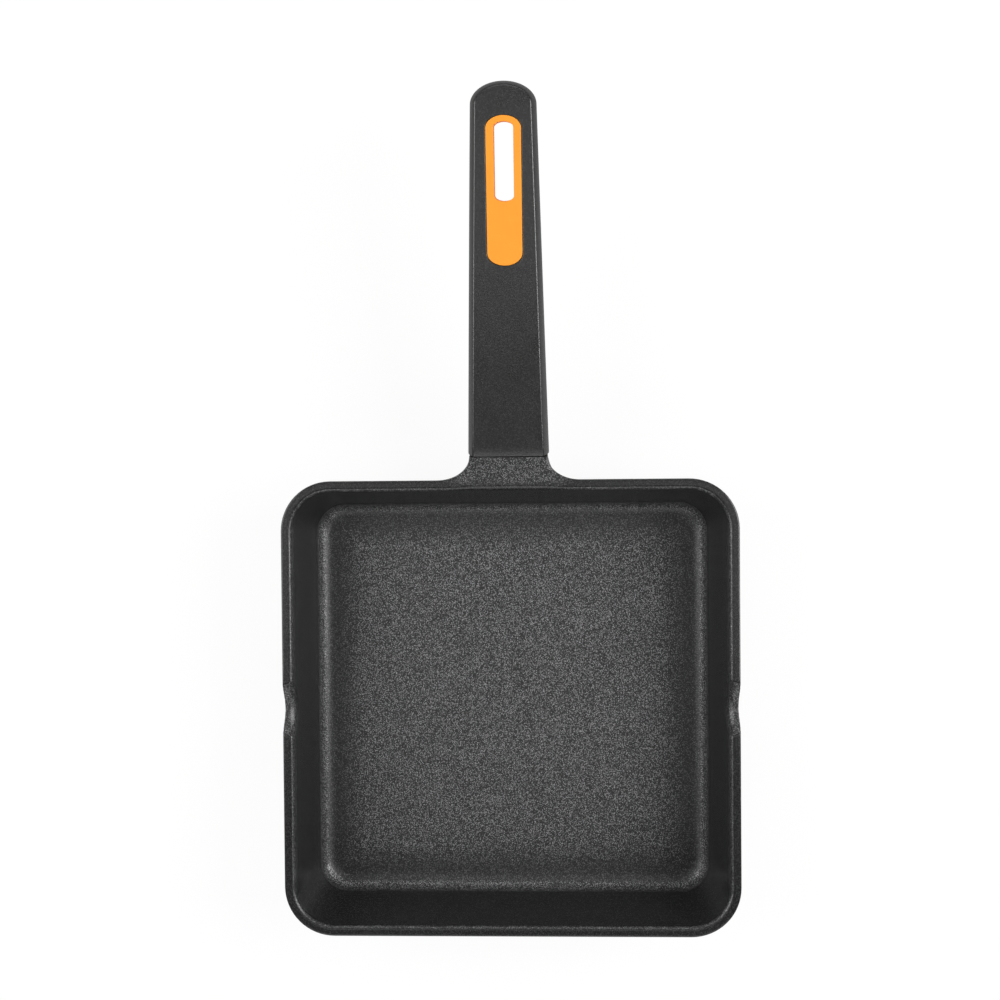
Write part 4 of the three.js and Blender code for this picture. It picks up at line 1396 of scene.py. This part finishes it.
radius, z = screw_profile[0]
bpy.ops.mesh.primitive_circle_add(
    vertices=SCREW_SIDES, radius=radius, fill_type="NGON", location=(0, SCREW_Y, z)
)
screw = start("handle_screw_turned")
edit(screw)
pick("FACE", lambda face: True)
for next_radius, next_z in screw_profile[1:]:
    bpy.ops.mesh.extrude_region_move(TRANSFORM_OT_translate={"value": (0, 0, next_z - z)})
    grow = next_radius / radius
    bpy.ops.transform.resize(value=(grow, grow, 1), center_override=(0, SCREW_Y, next_z))
    radius, z = next_radius, next_z
close()
mend_skin(screw)
drive_radius = DRIVE_ACROSS / math.sqrt(3)
bpy.ops.mesh.primitive_cylinder_add(
    vertices=DRIVE_SIDES, radius=drive_radius, depth=2 * DRIVE_DEPTH, location=(0, SCREW_Y, head_face)
)
combine(screw, start("drive"), "DIFFERENCE")
screw.data.transform(HANDLE)
finish_piece(screw, "handle_screw", [fastener_steel])

# %% Spring washer
WASHER_LOW = HEAD_TOP + GAP
WASHER_THICKNESS = 1.1 * MM
WASHER_OUTSIDE = 4.6 * MM
WASHER_INSIDE = SCREW_RADIUS + GAP
WASHER_SPLIT = math.radians(18)
WASHER_CHAMFER = 0.12 * MM
WASHER_STEPS = 56

bpy.ops.mesh.primitive_plane_add(size=1, rotation=(RIGHT_ANGLE, 0, 0))
washer = bpy.context.object
washer.scale = (WASHER_OUTSIDE - WASHER_INSIDE, WASHER_THICKNESS, 1)
washer.location = ((WASHER_OUTSIDE + WASHER_INSIDE) / 2, SCREW_Y, WASHER_LOW + WASHER_THICKNESS / 2)
washer = start("split_washer")
edit(washer)
bpy.ops.mesh.select_all(action="SELECT")
bpy.ops.mesh.bevel(offset=WASHER_CHAMFER, segments=CHAMFER_STEPS, affect="VERTICES")
bpy.ops.mesh.select_all(action="SELECT")
bpy.ops.mesh.spin(
    steps=WASHER_STEPS, angle=2 * math.pi - WASHER_SPLIT, center=(0, SCREW_Y, WASHER_LOW), axis=(0, 0, 1)
)
close()
mend_skin(washer)
washer.data.transform(HANDLE)
finish_piece(washer, "spring_washer", [fastener_steel])

# %% [markdown]
# ## Floor
# The photograph has a plain white ground. More light on a pale floor would give that too, but it would
# also burn out the object. So the floor is a wide pale plane that rays from the camera see mostly as plain
# white, and the rest of it is a diffuse surface that keeps a soft shadow under the pan. Rays that mirror
# in the coat or the metal see it greyer, because the real walls stay dark above the white ground. From
# below it is clear, so that the base can be looked at.

# %% Floor
FLOOR_SIZE = 8.0
FLOOR_WHITE_SHARE = 0.92
FLOOR_MIRRORED = 0.35
FLOOR_COLOUR = (0.95, 0.95, 0.95, 1)

bpy.ops.mesh.primitive_plane_add(size=FLOOR_SIZE)
floor = start("floor")
floor_paint = bpy.data.materials.new("white_ground")
floor_paint.use_nodes = True
tree = floor_paint.node_tree
tree.nodes.remove(tree.nodes["Principled BSDF"])
diffuse = add_node(tree, "ShaderNodeBsdfDiffuse", Color=FLOOR_COLOUR)
rays = tree.nodes.new("ShaderNodeLightPath")
mirrored = math_node(tree, "ADD", rays.outputs["Is Glossy Ray"], rays.outputs["Is Transmission Ray"])
seen = math_node(tree, "MINIMUM", math_node(tree, "ADD", rays.outputs["Is Camera Ray"], mirrored), 1.0)
seen = product(tree, seen, FLOOR_WHITE_SHARE)
level = spread(tree, mirrored, 0.0, 1.0, 1.0, FLOOR_MIRRORED)
white = add_node(tree, "ShaderNodeEmission", Strength=level)
ground = add_node(tree, "ShaderNodeMixShader", Fac=seen)
tree.links.new(diffuse.outputs["BSDF"], ground.inputs[1])
tree.links.new(white.outputs["Emission"], ground.inputs[2])
side = tree.nodes.new("ShaderNodeNewGeometry")
clear = tree.nodes.new("ShaderNodeBsdfTransparent")
both = add_node(tree, "ShaderNodeMixShader", Fac=side.outputs["Backfacing"])
tree.links.new(ground.outputs["Shader"], both.inputs[1])
tree.links.new(clear.outputs["BSDF"], both.inputs[2])
tree.links.new(both.outputs["Shader"], tree.nodes["Material Output"].inputs["Surface"])
floor.data.materials.append(floor_paint)
print("floor", FLOOR_SIZE, "m wide")

# %% [markdown]
# ## Light
# The coat is glossy, so the lights matter as much as the paint. One broad light overhead would be simple,
# but it would mirror in the floor as one bright patch. The photograph shows bright lines along the rim and
# round the floor, dark walls, and a floor that is lighter away from its front. So a large soft box stands on
# each side, and weaker panels hang overhead on both sides of a dark middle and behind it. Weak boxes in
# front and behind light the other walls. The world is nearly dark, and white to the camera.

# %% Lights
def soft_box(name, place, target, width, length, radiance):
    """A rectangular light that faces a target, with the given brightness per area."""
    bpy.ops.object.light_add(type="AREA", location=place)
    light = bpy.context.object
    light.name = name
    light.data.shape = "RECTANGLE"
    light.data.size = width
    light.data.size_y = length
    light.data.energy = radiance * math.pi * width * length
    light.rotation_euler = (Vector(target) - Vector(place)).to_track_quat("-Z", "Y").to_euler()
    print(name, round(light.data.energy, 2), "W")


OVERHEAD = 1.2
SIDE_HEIGHT = 0.78
END_HEIGHT = 0.8
SIDE_TARGET = (0, 0.05, 0.03)

soft_box("overhead_left", (-0.34, 0, OVERHEAD), (-0.1, 0, 0), width=0.4, length=0.6, radiance=0.85)
soft_box("overhead_right", (0.34, 0, OVERHEAD), (0.1, 0, 0), width=0.4, length=0.6, radiance=0.85)
soft_box("overhead_back", (0, 0.5, OVERHEAD), (0, 0.35, 0), width=0.8, length=0.3, radiance=0.6)
soft_box("left_box", (-0.92, 0.18, SIDE_HEIGHT), SIDE_TARGET, width=0.8, length=0.75, radiance=4.5)
soft_box("right_box", (0.92, 0.18, SIDE_HEIGHT), SIDE_TARGET, width=0.7, length=0.6, radiance=9.3)
soft_box("back_box", (0, 1.2, END_HEIGHT), (0, 0.1, 0.03), width=1.4, length=0.8, radiance=1.2)
soft_box("front_box", (0, -1.0, END_HEIGHT), (0, 0, 0.03), width=1.4, length=0.8, radiance=1.6)

# %% World and colour
WORLD_GREY = (0.04, 0.04, 0.04)
WORLD_WHITE = (1.0, 1.0, 1.0)

world = bpy.context.scene.world or bpy.data.worlds.new("studio")
bpy.context.scene.world = world
world.use_nodes = True
tree = world.node_tree
rays = tree.nodes.new("ShaderNodeLightPath")
behind = blend_colours(tree, rays.outputs["Is Camera Ray"], WORLD_GREY, WORLD_WHITE)
tree.links.new(behind, tree.nodes["Background"].inputs["Color"])
bpy.context.scene.view_settings.view_transform = "Standard"
print("world at", WORLD_GREY[0], "of white")
